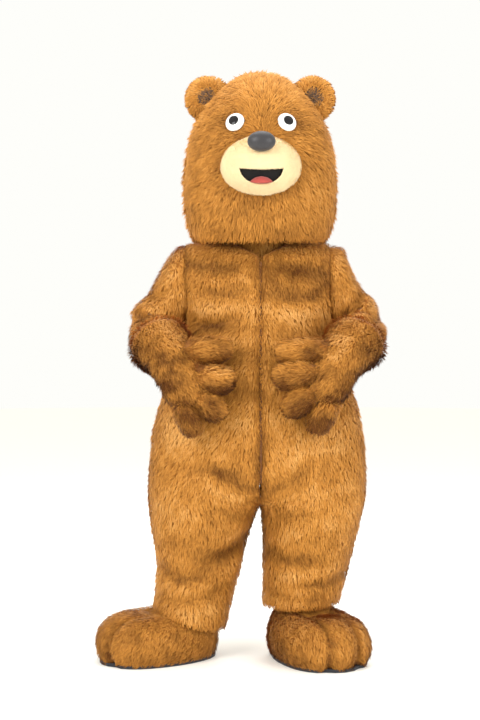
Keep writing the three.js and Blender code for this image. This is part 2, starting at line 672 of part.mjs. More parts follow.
function headPanel(face) {
  const turns = face === "front" ? steps(0.5, 1, headColumns) : steps(0, 0.5, headColumns);
  const heights = headRows.map((row) => row.z);
  const panel = cloth(turns, heights, (u, z) => headPoint(headRows, u, z), { wall: foamWall, spanV: 500 });
  const crown = panel.outer.length - 1;
  panel.inner[crown] = panel.outer[crown].map((p) => p.clone().setZ(p.z - foamWall));
  inset(panel, false, () => 0);
  const off = face === "front" ? -seamGap / 2 : seamGap / 2;
  for (const grid of [panel.outer, panel.inner])
    for (const row of grid) for (const p of [row[0], row.at(-1)]) p.y += off;
  for (const grid of [panel.outer, panel.inner]) for (const p of grid[crown]) p.y = off;
  return wallGeometry(panel);
}

function headBlock(grow) {
  const turns = steps(0, 1, 2 * headColumns).slice(0, -1);
  const rings = headRows.slice(0, -1).map((row) =>
    turns.map((u) => {
      const p = headPoint(headRows, u, row.z);
      return p.addScaledVector(p.clone().setZ(0).normalize(), grow);
    }),
  );
  return fromSolid(solidInside(rings, new THREE.Vector3(0, 0, headRows.at(-1).z + grow), 0));
}

function ellipsoid(width, deep, height, columns, rows) {
  return new THREE.SphereGeometry(1, columns, rows).rotateX(Math.PI / 2).scale(width, deep, height);
}

// A smiling mouth: a half-moon with its flat side up.
function mouthPrism(grow) {
  const { width, drop, corner, z } = mouth;
  const half = width + grow;
  const outline = new THREE.Shape()
    .moveTo(-half, corner + grow)
    .quadraticCurveTo(0, -corner + grow, half, corner + grow)
    .bezierCurveTo(half * 0.9, -drop * 0.8 - grow, half * 0.45, -drop - grow, 0, -drop - grow)
    .bezierCurveTo(-half * 0.45, -drop - grow, -half * 0.9, -drop * 0.8 - grow, -half, corner + grow);
  const prism = new THREE.ExtrudeGeometry(outline, { depth: 260, bevelEnabled: false, curveSegments: 5 });
  return prism.rotateX(Math.PI / 2).translate(0, -120, z);
}

function muzzleShape(shrink) {
  const { width, deep, height, y, z } = muzzle;
  return ellipsoid(width - shrink, deep - shrink, height - shrink, 20, 10).translate(0, y, z);
}

const skull = headBlock(seamGap);
const mouthHole = mouthPrism(0);
add("head_front", cut(headPanel("front"), mouthPrism(-4)), "fur");
add("head_back", headPanel("back"), "fur");
add("muzzle", cut(muzzleShape(0), muzzleShape(faceWall), skull, mouthHole), "muzzle_fleece");
const liner = common(
  cut(muzzleShape(faceWall + seamGap), muzzleShape(faceWall + seamGap + meshCloth), skull),
  mouthPrism(9),
);
add("mouth_mesh", liner, "black_mesh");
const tongueShape = ellipsoid(40, 34, 26, 12, 6).translate(0, muzzle.y - muzzle.deep + 22, mouth.z - mouth.drop - 2);
add("tongue", cut(common(tongueShape, mouthPrism(-seamGap)), muzzleShape(faceWall - seamGap)), "tongue_felt");
add("nose", cut(ellipsoid(nose.width, nose.deep, nose.height, 16, 10).translate(0, nose.y, nose.z), muzzleShape(-seamGap)), "nose_foam");

function domeGeometry(radius, bulge) {
  const profile = steps(0, Math.PI / 2, 6).map(
    (a) => new THREE.Vector2(radius * Math.cos(a), bulge * Math.sin(a)),
  );
  profile.at(-1).x = 0;
  profile.unshift(new THREE.Vector2(0, 0));
  return new THREE.LatheGeometry(profile, 16);
}

// The part of a dome's skin within a radius of its axis, moved out.
function discOnDome(dome, radius, thick) {
  const height = (r, grow) => dome.bulge * Math.sqrt(1 - (r / dome.radius) ** 2) + grow;
  const radii = steps(0, radius, 2);
  const profile = radii.map((r) => new THREE.Vector2(r, height(r, seamGap)));
  const top = radii.map((r) => new THREE.Vector2(r, height(r, seamGap + thick))).reverse();
  return new THREE.LatheGeometry([...profile, ...top], 16);
}

// Stands a shape on the head's skin, its +Y along the skin's normal.
function onSkin(mesh, sign, out, z, lift) {
  const width = (height) => rowAt(headRows, "z", height);
  const surface = (x, height) => {
    const row = width(height);
    return new THREE.Vector3(x, -row.front * Math.sqrt(1 - (x / row.width) ** 2), height);
  };
  const x = sign * out;
  const across = surface(x + 1, z).sub(surface(x - 1, z));
  const normal = across.cross(surface(x, z + 1).sub(surface(x, z - 1))).normalize();
  mesh.position.copy(surface(x, z)).addScaledVector(normal, lift);
  mesh.quaternion.setFromUnitVectors(new THREE.Vector3(0, 1, 0), normal);
}

for (const side of sides) {
  const white = add(`eye_${side.name}`, domeGeometry(eye.radius, eye.bulge), "eye_white");
  const pupil = add(`pupil_${side.name}`, discOnDome(eye, eye.pupil, eye.pupilThick), "pupil_black");
  for (const mesh of [white, pupil]) onSkin(mesh, side.sign, eye.out, eye.z, 1.2);
}

// Ears: a padded round of fur with a darker round on its front, cut to the head's curve.
function earShapes(side) {
  const lean = new THREE.Matrix4().makeRotationY(side.sign * THREE.MathUtils.degToRad(ear.lean));
  const placed = (shape) =>
    shape.applyMatrix4(lean).translate(side.sign * ear.out, ear.y, ear.z);
  const round = ellipsoid(ear.radius, ear.thick, ear.radius, 16, 8);
  const bowl = (grow) => ellipsoid(ear.inner + grow, 12 + grow, ear.inner + grow, 12, 6)
    .translate(0, -ear.thick, 12);
  const outer = cut(placed(cut(round, bowl(0))), skull);
  const lining = cut(placed(common(bowl(-seamGap), ellipsoid(ear.radius, ear.thick - 3, ear.radius, 16, 8))), skull);
  return { outer, lining };
}

for (const side of sides) {
  const shapes = earShapes(side);
  add(`ear_${side.name}`, shapes.outer, "fur");
  add(`ear_${side.name}_lining`, shapes.lining, "inner_ear_fur");
}

// The fur tube that joins the head to the suit and shows in the neckline.
const neckTurns = steps(0, 1, 14).slice(0, -1);
const neckHeights = neckRows.map((row) => row.z);
const neckTube = cloth(neckTurns, neckHeights, (u, z) => headPoint(neckRows, u, z), {
  wall: furCloth,
  wrap: true,
  spanV: 120,
});
add("neck_tube", wallGeometry(neckTube, { wrap: true }), "fur");

export default costume;
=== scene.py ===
"""A bear mascot costume in long brown fur, as it hangs on its wearer, on a plain pale floor."""

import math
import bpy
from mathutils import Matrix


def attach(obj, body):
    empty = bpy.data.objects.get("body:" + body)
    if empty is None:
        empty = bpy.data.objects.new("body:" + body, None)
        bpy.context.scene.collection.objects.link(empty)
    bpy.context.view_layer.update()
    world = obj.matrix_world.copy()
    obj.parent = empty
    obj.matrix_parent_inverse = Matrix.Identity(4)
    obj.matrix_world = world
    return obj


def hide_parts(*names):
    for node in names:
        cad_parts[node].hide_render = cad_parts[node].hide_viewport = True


bl_info = {
    "name": "Bear Mascot Costume",
    "version": (1, 0, 0),
    "blender": (4, 5, 0),
    "location": "View3D > Sidebar > Costume",
    "description": "Builds the fur, foam and trimmings of a worn bear mascot costume",
    "category": "Object",
}

import bmesh
import bpy
import numpy as np
from mathutils import Vector, noise
from mathutils.kdtree import KDTree

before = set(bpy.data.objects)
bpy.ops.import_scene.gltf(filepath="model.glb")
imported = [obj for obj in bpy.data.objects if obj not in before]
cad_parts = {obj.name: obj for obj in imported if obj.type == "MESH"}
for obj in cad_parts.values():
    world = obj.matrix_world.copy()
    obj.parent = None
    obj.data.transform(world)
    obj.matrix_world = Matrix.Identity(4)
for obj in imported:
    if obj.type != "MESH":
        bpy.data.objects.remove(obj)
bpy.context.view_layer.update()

FLOOR_Z = -1.4  # the soles stand here; the origin is between the wearer's shoulders
SWIRL_SEED = 5  # without one, the way that the pile is brushed would change with the clock
UV_NAME = "OFBake"  # across: how light a strand is; up: from its root to its tip


# Sizes and colours


def linear(red, green, blue):
    """A colour given in 0 to 255 as a screen shows it, in linear light."""
    parts = [v / 255 for v in (red, green, blue)]
    return tuple(v / 12.92 if v <= 0.04045 else ((v + 0.055) / 1.055) ** 2.4 for v in parts)


def length(name, text, metres):
    return bpy.props.FloatProperty(
        name=name, description=text, default=metres, min=0.0, precision=4, subtype="DISTANCE", unit="LENGTH"
    )


def colour(name, text, *rgb):
    return bpy.props.FloatVectorProperty(
        name=name, description=text, default=linear(*rgb), size=3, min=0.0, max=1.0, subtype="COLOR"
    )


class CostumeSizes(bpy.types.PropertyGroup):
    suit_pile: length("Suit Pile", "Length of the fur on the body, legs and sleeves", 0.022)
    head_pile: length("Head Pile", "Length of the fur on the head", 0.027)
    glove_pile: length("Glove Pile", "Length of the fur on the gloves", 0.022)
    shoe_pile: length("Shoe Pile", "Length of the fur on the shoe covers", 0.02)
    ear_pile: length("Ear Pile", "Length of the fur on the ears", 0.015)
    fleece_pile: length("Fleece Pile", "Length of the short pile on the muzzle", 0.005)
    strand_width: length("Strand Width", "Width of one lock of fur at its middle", 0.0029)
    strands_per_m2: bpy.props.FloatProperty(
        name="Strands", description="Locks of fur on a square metre of cloth", default=86000.0, min=0.0
    )
    crease_depth: bpy.props.FloatProperty(
        name="Crease Depth", description="All the folds of the suit, times this",
        default=1.0, min=0.0, max=2.0,
    )
    tooth_pitch: length("Tooth Pitch", "From one zip tooth to the next", 0.004)


class CostumeColours(bpy.types.PropertyGroup):
    fur_dark: colour("Fur, Dark", "Locks in the shade and in the folds", 96, 52, 3)
    fur_mid: colour("Fur, Middle", "Most of the fur", 194, 130, 52)
    fur_light: colour("Fur, Light", "Locks that catch the light", 236, 180, 104)
    backing: colour("Backing", "The cloth that the pile grows from", 174, 110, 42)
    ear_inside: colour("Ear Inside", "Short fur inside the ears", 104, 78, 58)
    fleece: colour("Fleece", "The muzzle", 250, 226, 180)
    nose: colour("Nose", "Coated foam of the nose", 58, 56, 58)
    mesh_black: colour("Mesh", "See-through black cloth in the mouth", 22, 20, 20)
    tongue: colour("Tongue", "Felt of the tongue", 168, 70, 62)
    eye_white: colour("Eye White", "Gloss shell of the eyes", 246, 246, 244)
    pupil: colour("Pupil", "Gloss disc of the pupils", 24, 22, 24)
    sole: colour("Sole", "Rubber of the soles", 48, 49, 54)
    zip: colour("Zip", "Coil and slider of the zip", 104, 62, 26)
    floor: colour("Floor", "The studio floor", 247, 246, 239)


def sizes():
    return bpy.context.scene.costume_sizes


def colours():
    return bpy.context.scene.costume_colours


# The line down the middle of each piece, which its fur grows away from: points in metres, out from
# the middle of the wearer to that side, back, and above the floor.

TRUNK_LINES = {
    "right": [(0, 0, 1.45), (0, 0, 0.75), (0.12, 0, 0.6), (0.21, 0, 0.45), (0.235, 0, 0.1)],
    "left": [(0, 0, 1.45), (0, 0, 0.75), (0.1, 0, 0.6), (0.17, 0.01, 0.45), (0.14, 0.01, 0.15)],
}
ARM_LINES = {
    "right": [
        (0.27, 0, 1.25), (0.31, 0, 1.18), (0.35, -0.02, 1.125),
        (0.352, -0.086, 1.086), (0.336, -0.148, 1.07), (0.306, -0.214, 1.042),
    ],
    "left": [
        (0.26, 0, 1.25), (0.295, 0, 1.18), (0.333, -0.016, 1.14),
        (0.334, -0.084, 1.088), (0.317, -0.148, 1.071), (0.286, -0.21, 1.047),
    ],
}
HAND_LINES = {
    "right": [(0.33, -0.168, 1.064), (0.294, -0.24, 1.022), (0.25, -0.274, 0.95), (0.22, -0.279, 0.9)],
    "left": [(0.31, -0.166, 1.068), (0.267, -0.238, 1.028), (0.218, -0.274, 0.958), (0.19, -0.279, 0.906)],
}
DIGIT_LINES = {
    "right": {
        "thumb": [(0.262, -0.262, 1.03), (0.142, -0.262, 1.046)],
        "finger_1": [(0.216, -0.278, 0.956), (0.134, -0.3, 0.951)],
        "finger_2": [(0.206, -0.282, 0.908), (0.156, -0.288, 0.862)],
        "finger_3": [(0.252, -0.276, 0.908), (0.226, -0.27, 0.816)],
    },
    "left": {
        "thumb": [(0.228, -0.262, 1.034), (0.096, -0.266, 1.04)],
        "finger_1": [(0.184, -0.278, 0.966), (0.088, -0.292, 0.962)],
        "finger_2": [(0.172, -0.281, 0.914), (0.112, -0.292, 0.874)],
        "finger_3": [(0.218, -0.276, 0.912), (0.188, -0.272, 0.824)],
    },
}
SHOE_LINES = {
    "right": [(0.246, 0.006, 0.25), (0.246, 0.006, 0.08), (0.424, -0.085, 0.08)],
    "left": [(0.138, 0.034, 0.25), (0.138, 0.034, 0.08), (0.226, -0.146, 0.08)],
}
HEAD_LINE = [(0, 0, 1.3), (0, 0, 1.75)]

# Places on the front of the head, laid out like the lines
FACE = (0, -0.26, 1.68)
MUZZLE = (0, -0.205, 1.64)
MUZZLE_REACH = (0.135, 0.102)  # half its size across and up, with the short fur round it
EYES = [(-0.084, 1.784), (0.084, 1.784)]
EYE_REACH = 0.045
EAR = (0.176, 0.006, 1.888)

ARM_HOLE = (1.11, 1.385)  # the heights that the armhole seam lies between
ZIP_RUN = (0.56, 1.4)
OUTER = 0.35  # a surface faces out from its line when the two agree by more than this

# The folds of the suit: where each one runs across the front, the back or an arm, in metres from
# the middle and above the floor, and how deep and wide it is.
CREASES = [
    # face, x0, z0, x1, z1, depth, width
    ("front", -0.235, 1.335, -0.06, 1.315, 0.008, 0.020),
    ("front", -0.215, 1.245, -0.075, 1.225, 0.006, 0.024),
    ("front", -0.210, 1.130, -0.060, 1.165, 0.011, 0.022),
    ("front", 0.045, 1.330, 0.225, 1.300, 0.009, 0.022),
    ("front", 0.055, 1.215, 0.220, 1.245, 0.008, 0.024),
    ("front", 0.040, 1.110, 0.215, 1.090, 0.006, 0.022),
    ("front", -0.240, 1.010, -0.040, 1.045, 0.008, 0.026),
    ("front", 0.040, 1.000, 0.250, 0.960, 0.006, 0.026),
    ("front", -0.300, 0.890, -0.120, 0.850, 0.006, 0.030),
    ("front", 0.140, 0.860, 0.310, 0.900, 0.006, 0.030),
    ("front", -0.020, 0.585, -0.190, 0.690, 0.010, 0.024),
    ("front", 0.020, 0.580, 0.180, 0.705, 0.009, 0.024),
    ("front", -0.030, 0.500, -0.250, 0.560, 0.006, 0.026),
    ("front", 0.030, 0.490, 0.240, 0.540, 0.006, 0.026),
    ("front", -0.040, 0.430, -0.190, 0.330, 0.014, 0.024),
    ("front", -0.350, 0.330, -0.200, 0.290, 0.008, 0.022),
    ("front", -0.120, 0.250, -0.300, 0.215, 0.010, 0.020),
    ("front", 0.025, 0.380, 0.200, 0.330, 0.008, 0.024),
    ("front", 0.290, 0.300, 0.110, 0.260, 0.008, 0.020),
    ("front", 0.035, 0.235, 0.200, 0.222, 0.009, 0.016),
    ("arm", -0.400, 1.142, -0.250, 1.150, 0.016, 0.016),
    ("arm", -0.385, 1.215, -0.290, 1.262, 0.010, 0.018),
    ("arm", -0.420, 1.085, -0.300, 1.050, 0.010, 0.018),
    ("arm", 0.245, 1.135, 0.345, 1.235, 0.016, 0.018),
    ("arm", 0.400, 1.155, 0.300, 1.120, 0.011, 0.018),
    ("arm", 0.410, 1.075, 0.300, 1.040, 0.010, 0.018),
    ("back", -0.225, 1.320, -0.050, 1.335, 0.011, 0.026),
    ("back", 0.060, 1.325, 0.215, 1.290, 0.012, 0.024),
    ("back", -0.210, 1.190, -0.030, 1.150, 0.013, 0.026),
    ("back", 0.040, 1.170, 0.220, 1.200, 0.012, 0.026),
    ("back", -0.235, 1.030, 0.010, 1.060, 0.014, 0.026),
    ("back", 0.060, 1.000, 0.255, 1.035, 0.013, 0.024),
    ("back", -0.270, 0.900, -0.050, 0.860, 0.012, 0.030),
    ("back", 0.080, 0.870, 0.280, 0.905, 0.012, 0.030),
    ("back", -0.040, 0.600, -0.250, 0.565, 0.018, 0.026),
    ("back", 0.040, 0.595, 0.240, 0.570, 0.017, 0.026),
    ("back", -0.330, 0.450, -0.110, 0.400, 0.013, 0.024),
    ("back", 0.060, 0.430, 0.300, 0.455, 0.013, 0.024),
    ("back", -0.120, 0.310, -0.320, 0.275, 0.014, 0.022),
    ("back", 0.050, 0.300, 0.250, 0.325, 0.013, 0.022),
]


def place(point, sign=1):
    return Vector((sign * point[0], point[1], point[2] + FLOOR_Z))


def side_sign(side):
    return -1 if side == "right" else 1


def side_line(points, side):
    return [place(point, side_sign(side)) for point in points]


# Meshes


def new_object(name, mesh):
    obj = bpy.data.objects.new(name, mesh)
    bpy.context.scene.collection.objects.link(obj)
    return obj


def settled(obj, name):
    """A plain mesh object of what obj's modifiers make. obj goes away."""
    bpy.context.view_layer.update()
    graph = bpy.context.evaluated_depsgraph_get()
    mesh = bpy.data.meshes.new_from_object(
        obj.evaluated_get(graph), preserve_all_data_layers=True, depsgraph=graph
    )
    mesh.name = name
    bpy.data.objects.remove(obj)
    return new_object(name, mesh)


def copied(node, levels, sharp_degrees=48):
    """A CAD node's surface as a smooth mesh that keeps its cut edges."""
    bm = bmesh.new()
    bm.from_mesh(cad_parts[node].data)
    bmesh.ops.remove_doubles(bm, verts=bm.verts, dist=2e-5)
    bmesh.ops.join_triangles(
        bm, faces=bm.faces, angle_face_threshold=math.radians(24), angle_shape_threshold=math.radians(60)
    )
    crease = bm.edges.layers.float.new("crease_edge")
    for edge in bm.edges:
        if len(edge.link_faces) == 2 and edge.calc_face_angle(0) > math.radians(sharp_degrees):
            edge[crease] = 1.0
    mesh = bpy.data.meshes.new(node + "_copy")
    bm.to_mesh(mesh)
    bm.free()
    obj = new_object(node + "_copy", mesh)
    rounded = obj.modifiers.new("rounded", "SUBSURF")
    rounded.levels = rounded.render_levels = levels
    obj = settled(obj, node + "_copy")
    for polygon in obj.data.polygons:
        polygon.use_smooth = True
    return obj


def points_of(mesh):
    co = np.empty(len(mesh.vertices) * 3)
    mesh.vertices.foreach_get("co", co)
    return co.reshape(-1, 3)


def set_points(mesh, co):
    mesh.vertices.foreach_set("co", co.ravel())
    mesh.update()


def normals_of(mesh):
    out = np.empty(len(mesh.vertices) * 3)
    mesh.vertex_normals.foreach_get("vector", out)
    return out.reshape(-1, 3)


def unit(v):
    return v / np.maximum(np.linalg.norm(v, axis=1, keepdims=True), 1e-9)


def nearest_on(line, co):
    """The nearest point of a line to each of these points."""
    best = np.full(len(co), np.inf)
    found = np.zeros_like(co)
    for a, b in zip(line[:-1], line[1:]):
        a, b = np.array(a), np.array(b)
        share = np.clip((co - a) @ (b - a) / max((b - a) @ (b - a), 1e-12), 0, 1)
        spot = a + share[:, None] * (b - a)
        far = np.linalg.norm(co - spot, axis=1)
        closer = far < best
        best[closer], found[closer] = far[closer], spot[closer]
    return found


def store(mesh, name, values, kind="FLOAT"):
    attribute = mesh.attributes.new(name, kind, "POINT")
    field = "vector" if kind == "FLOAT_VECTOR" else "value"
    attribute.data.foreach_set(field, np.asarray(values, np.float32).ravel())


def wobble(co, per_metre, seed):
    """Soft noise from -1 to 1 at each point."""
    shift = Vector((seed * 7.3, seed * 3.1, -seed * 5.7))
    return np.array([noise.noise(Vector(p) * per_metre + shift) for p in co])


def swirl(co, per_metre, seed):
    """Soft noise with a direction at each point."""
    noise.seed_set(SWIRL_SEED)
    shift = Vector((seed * 2.9, -seed * 6.1, seed * 4.3))
    return np.array([noise.noise_vector(Vector(p) * per_metre + shift) for p in co])


# Painted shade and light on the suit's fur: darker and lighter patches that stand in for pile pressed the
# other way catching the light, and for the shade under the gloves: the middle, half the size across and up,
# and how much. The back has the same places, more faintly.
PAINTED_NAP_SHADE = [
    (-0.150, 1.325, 0.125, 0.055, -0.30),
    (0.140, 1.300, 0.130, 0.070, -0.34),
    (-0.100, 1.250, 0.080, 0.020, -0.16),
    (0.080, 1.235, 0.070, 0.024, -0.14),
    (-0.060, 1.285, 0.050, 0.020, 0.14),
    (0.110, 1.175, 0.120, 0.026, 0.20),
    (-0.110, 1.190, 0.110, 0.024, 0.14),
    (-0.130, 1.120, 0.110, 0.020, -0.26),
    (-0.030, 1.050, 0.060, 0.030, -0.10),
    (0.060, 0.990, 0.050, 0.050, -0.14),
    (-0.060, 0.900, 0.080, 0.030, -0.20),
    (0.030, 0.830, 0.080, 0.040, 0.12),
    (-0.220, 0.780, 0.090, 0.060, 0.14),
    (0.220, 0.760, 0.090, 0.060, 0.12),
    (-0.120, 0.660, 0.110, 0.030, -0.12),
    (0.160, 0.640, 0.110, 0.030, -0.14),
    (-0.260, 0.520, 0.080, 0.060, 0.12),
    (0.210, 0.500, 0.090, 0.050, 0.10),
    (-0.140, 0.390, 0.080, 0.030, -0.20),
    (0.120, 0.360, 0.090, 0.028, -0.16),
    (-0.250, 0.290, 0.090, 0.026, -0.18),
    (0.190, 0.275, 0.090, 0.024, -0.16),
]


def painted_nap_shade(co):
    x, z = co[:, 0], co[:, 2] - FLOOR_Z
    total = np.zeros(len(co))
    for x0, z0, across, up, amount in PAINTED_NAP_SHADE:
        total += amount * np.exp(-(((x - x0) / across) ** 2) - ((z - z0) / up) ** 2)
    return np.where(co[:, 1] < 0.02, total, 0.6 * total)


def crease_at(co, faces=("front", "back")):
    """How far each point of the suit sinks into a fold, or rises beside one."""
    sunk = np.zeros(len(co))
    x, y, z = co[:, 0], co[:, 1], co[:, 2] - FLOOR_Z
    for face, x0, z0, x1, z1, depth, width in CREASES:
        if face not in faces:
            continue
        facing = {"front": y < 0.01, "back": y > -0.01, "arm": y < 0.2}[face]
        run = np.array((x1 - x0, z1 - z0))
        share = ((x - x0) * run[0] + (z - z0) * run[1]) / (run @ run)
        held = np.clip(share, 0, 1)
        bow = 0.012 * np.sin(held * math.pi)
        off = np.hypot(x - x0 - held * run[0], z - z0 - held * run[1] + bow)
        taper = 1 - (2 * held - 1) ** 4 * 0.8
        trough = np.exp(-((off / width) ** 2))
        ridge = 0.45 * np.exp(-(((off - 2.1 * width) / width) ** 2))
        sunk += np.where(facing, depth * taper * (trough - ridge), 0)
    return sunk * sizes().crease_depth


# Materials


def material(name, roughness, sheen=0.0, specular=0.5):
    mat = bpy.data.materials.new(name)
    mat.use_nodes = True
    shader = mat.node_tree.nodes["Principled BSDF"]
    shader.inputs["Roughness"].default_value = roughness
    shader.inputs["Sheen Weight"].default_value = sheen
    shader.inputs["Specular IOR Level"].default_value = specular
    return mat, mat.node_tree, shader


def add_node(tree, kind, **settings):
    node = tree.nodes.new(kind)
    for key, value in settings.items():
        if key in node.inputs:
            node.inputs[key].default_value = value
        else:
            setattr(node, key, value)
    return node


def set_ramp(ramp, stops):
    elements = ramp.color_ramp.elements
    while len(elements) < len(stops):
        elements.new(0.5)
    for element, (position, rgb) in zip(elements, stops):
        element.position = position
        element.color = (*rgb, 1)


def grey(value):
    return (value, value, value)


def strand_material(name, dark, mid, light, root=0.78):
    """Each lock has one place across the map, from dark to light, and gets lighter to its tip."""
    mat, tree, shader = material(name, 0.7, sheen=0.03, specular=0.2)
    link = tree.links.new
    spot = add_node(tree, "ShaderNodeUVMap", uv_map=UV_NAME)
    split = add_node(tree, "ShaderNodeSeparateXYZ")
    tone = add_node(tree, "ShaderNodeValToRGB")
    set_ramp(tone, [(0.05, dark), (0.5, mid), (0.95, light)])
    rise = add_node(tree, "ShaderNodeValToRGB")
    set_ramp(rise, [(0.0, grey(root)), (0.45, grey(0.94)), (1.0, grey(1.06))])
    mix = add_node(tree, "ShaderNodeMix", data_type="RGBA", blend_type="MULTIPLY")
    mix.inputs["Factor"].default_value = 1.0
    link(spot.outputs["UV"], split.inputs[0])
    link(split.outputs["X"], tone.inputs["Fac"])
    link(split.outputs["Y"], rise.inputs["Fac"])
    link(tone.outputs["Color"], mix.inputs[6])
    link(rise.outputs["Color"], mix.inputs[7])
    link(mix.outputs[2], shader.inputs["Base Color"])
    return mat


EVEN = (1, 1, 1)


def cloth_material(
    name, low, high, per_metre=180.0, stretch=(1.0, 1.0, 0.25), bump=0.0015, roughness=0.9
):
    """Cloth or foam whose colour and height vary with fine noise, drawn out along the pile."""
    mat, tree, shader = material(name, roughness, sheen=0.1, specular=0.25)
    link = tree.links.new
    place_on = add_node(tree, "ShaderNodeTexCoord")
    drawn = add_node(tree, "ShaderNodeMapping")
    drawn.inputs["Scale"].default_value = stretch
    fine = add_node(tree, "ShaderNodeTexNoise", Scale=per_metre, Detail=4.0, Roughness=0.6)
    broad = add_node(tree, "ShaderNodeTexNoise", Scale=per_metre / 14, Detail=2.0)
    both = add_node(tree, "ShaderNodeMath", operation="MULTIPLY_ADD")
    both.inputs[1].default_value = 0.45
    ramp = add_node(tree, "ShaderNodeValToRGB")
    set_ramp(ramp, [(0.5, low), (0.9, high)])
    raised = add_node(tree, "ShaderNodeBump", Strength=0.6, Distance=bump)
    link(place_on.outputs["Object"], drawn.inputs["Vector"])
    link(drawn.outputs["Vector"], fine.inputs["Vector"])
    link(drawn.outputs["Vector"], broad.inputs["Vector"])
    link(broad.outputs["Fac"], both.inputs[0])
    link(fine.outputs["Fac"], both.inputs[2])
    link(both.outputs[0], ramp.inputs["Fac"])
    link(ramp.outputs["Color"], shader.inputs["Base Color"])
    link(fine.outputs["Fac"], raised.inputs["Height"])
    link(raised.outputs["Normal"], shader.inputs["Normal"])
    return mat


def dimmed(rgb, share):
    return tuple(v * share for v in rgb)


def fur_strands():
    c = colours()
    name = "fur pile"
    return bpy.data.materials.get(name) or strand_material(name, c.fur_dark, c.fur_mid, c.fur_light)


def fur_backing():
    c = colours()
    name = "fur backing"
    ready = bpy.data.materials.get(name)
    return ready or cloth_material(name, dimmed(c.backing, 0.8), c.backing, bump=0.003)


def dress(obj, look):
    """Gives obj this material and no other."""
    obj.data.materials.clear()
    obj.data.materials.append(look)


# Fur


def group(name, inputs):
    """A new geometry tree with these inputs, and its first and last nodes."""
    tree = bpy.data.node_groups.new(name, "GeometryNodeTree")
    tree.interface.new_socket("Geometry", in_out="INPUT", socket_type="NodeSocketGeometry")
    tree.interface.new_socket("Geometry", in_out="OUTPUT", socket_type="NodeSocketGeometry")
    for label, kind in inputs:
        tree.interface.new_socket(label, in_out="INPUT", socket_type="NodeSocket" + kind)
    return tree, tree.nodes.new("NodeGroupInput"), tree.nodes.new("NodeGroupOutput")


def run_tree(obj, tree, values):
    """Puts a tree on obj, with a value for each of its named inputs."""
    items = tree.interface.items_tree
    keys = {item.name: item.identifier for item in items if item.in_out == "INPUT"}
    modifier = obj.modifiers.new(tree.name, "NODES")
    modifier.node_group = tree
    for label, value in values.items():
        modifier[keys[label]] = value


def named(tree, name, kind="FLOAT"):
    node = add_node(tree, "GeometryNodeInputNamedAttribute", data_type=kind)
    node.inputs["Name"].default_value = name
    return node.outputs["Attribute"]


def maths(tree, operation, *values):
    node = add_node(tree, "ShaderNodeMath", operation=operation)
    for slot, value in zip(node.inputs, values):
        if isinstance(value, (int, float)):
            slot.default_value = value
        else:
            tree.links.new(value, slot)
    return node.outputs[0]


def vectors(tree, operation, a, b=None, scale=None):
    node = add_node(tree, "ShaderNodeVectorMath", operation=operation)
    for key, value in ((0, a), (1, b), ("Scale", scale)):
        if value is not None:
            tree.links.new(value, node.inputs[key])
    return node.outputs[0]


def stored(tree, geometry, name, value, domain="POINT", kind="FLOAT"):
    node = add_node(tree, "GeometryNodeStoreNamedAttribute", data_type=kind, domain=domain)
    node.inputs["Name"].default_value = name
    tree.links.new(geometry, node.inputs["Geometry"])
    tree.links.new(value, node.inputs["Value"])
    return node.outputs["Geometry"]


def random_between(tree, low, high, seed, kind="FLOAT"):
    node = add_node(tree, "FunctionNodeRandomValue", data_type=kind)
    where = {"FLOAT": (2, 3), "FLOAT_VECTOR": (0, 1)}[kind]
    node.inputs[where[0]].default_value = low
    node.inputs[where[1]].default_value = high
    node.inputs["Seed"].default_value = seed
    return node.outputs[{"FLOAT": 1, "FLOAT_VECTOR": 0}[kind]]


def planted(tree, points, shape, rotation, scale=None):
    """A real copy of the shape at each point."""
    link = tree.links.new
    source = add_node(tree, "GeometryNodeObjectInfo")
    link(shape, source.inputs["Object"])
    copies = add_node(tree, "GeometryNodeInstanceOnPoints")
    link(points, copies.inputs["Points"])
    link(source.outputs["Geometry"], copies.inputs["Instance"])
    link(rotation, copies.inputs["Rotation"])
    if scale is not None:
        link(scale, copies.inputs["Scale"])
    real = add_node(tree, "GeometryNodeRealizeInstances")
    link(copies.outputs["Instances"], real.inputs["Geometry"])
    return real.outputs["Geometry"]


def hand_over(tree, geometry, first, last):
    """The end of a tree: its geometry in the material that was asked for."""
    finished = add_node(tree, "GeometryNodeSetMaterial")
    tree.links.new(geometry, finished.inputs["Geometry"])
    tree.links.new(first.outputs["Material"], finished.inputs["Material"])
    tree.links.new(finished.outputs["Geometry"], last.inputs[0])


FUR_INPUTS = [
    ("Strand", "Object"),
    ("Strands per m2", "Float"),
    ("Length", "Float"),
    ("Width", "Float"),
    ("Lift", "Float"),
    ("Scatter", "Float"),
    ("Clumps per m", "Float"),
    ("Seed", "Int"),
    ("Material", "Material"),
]


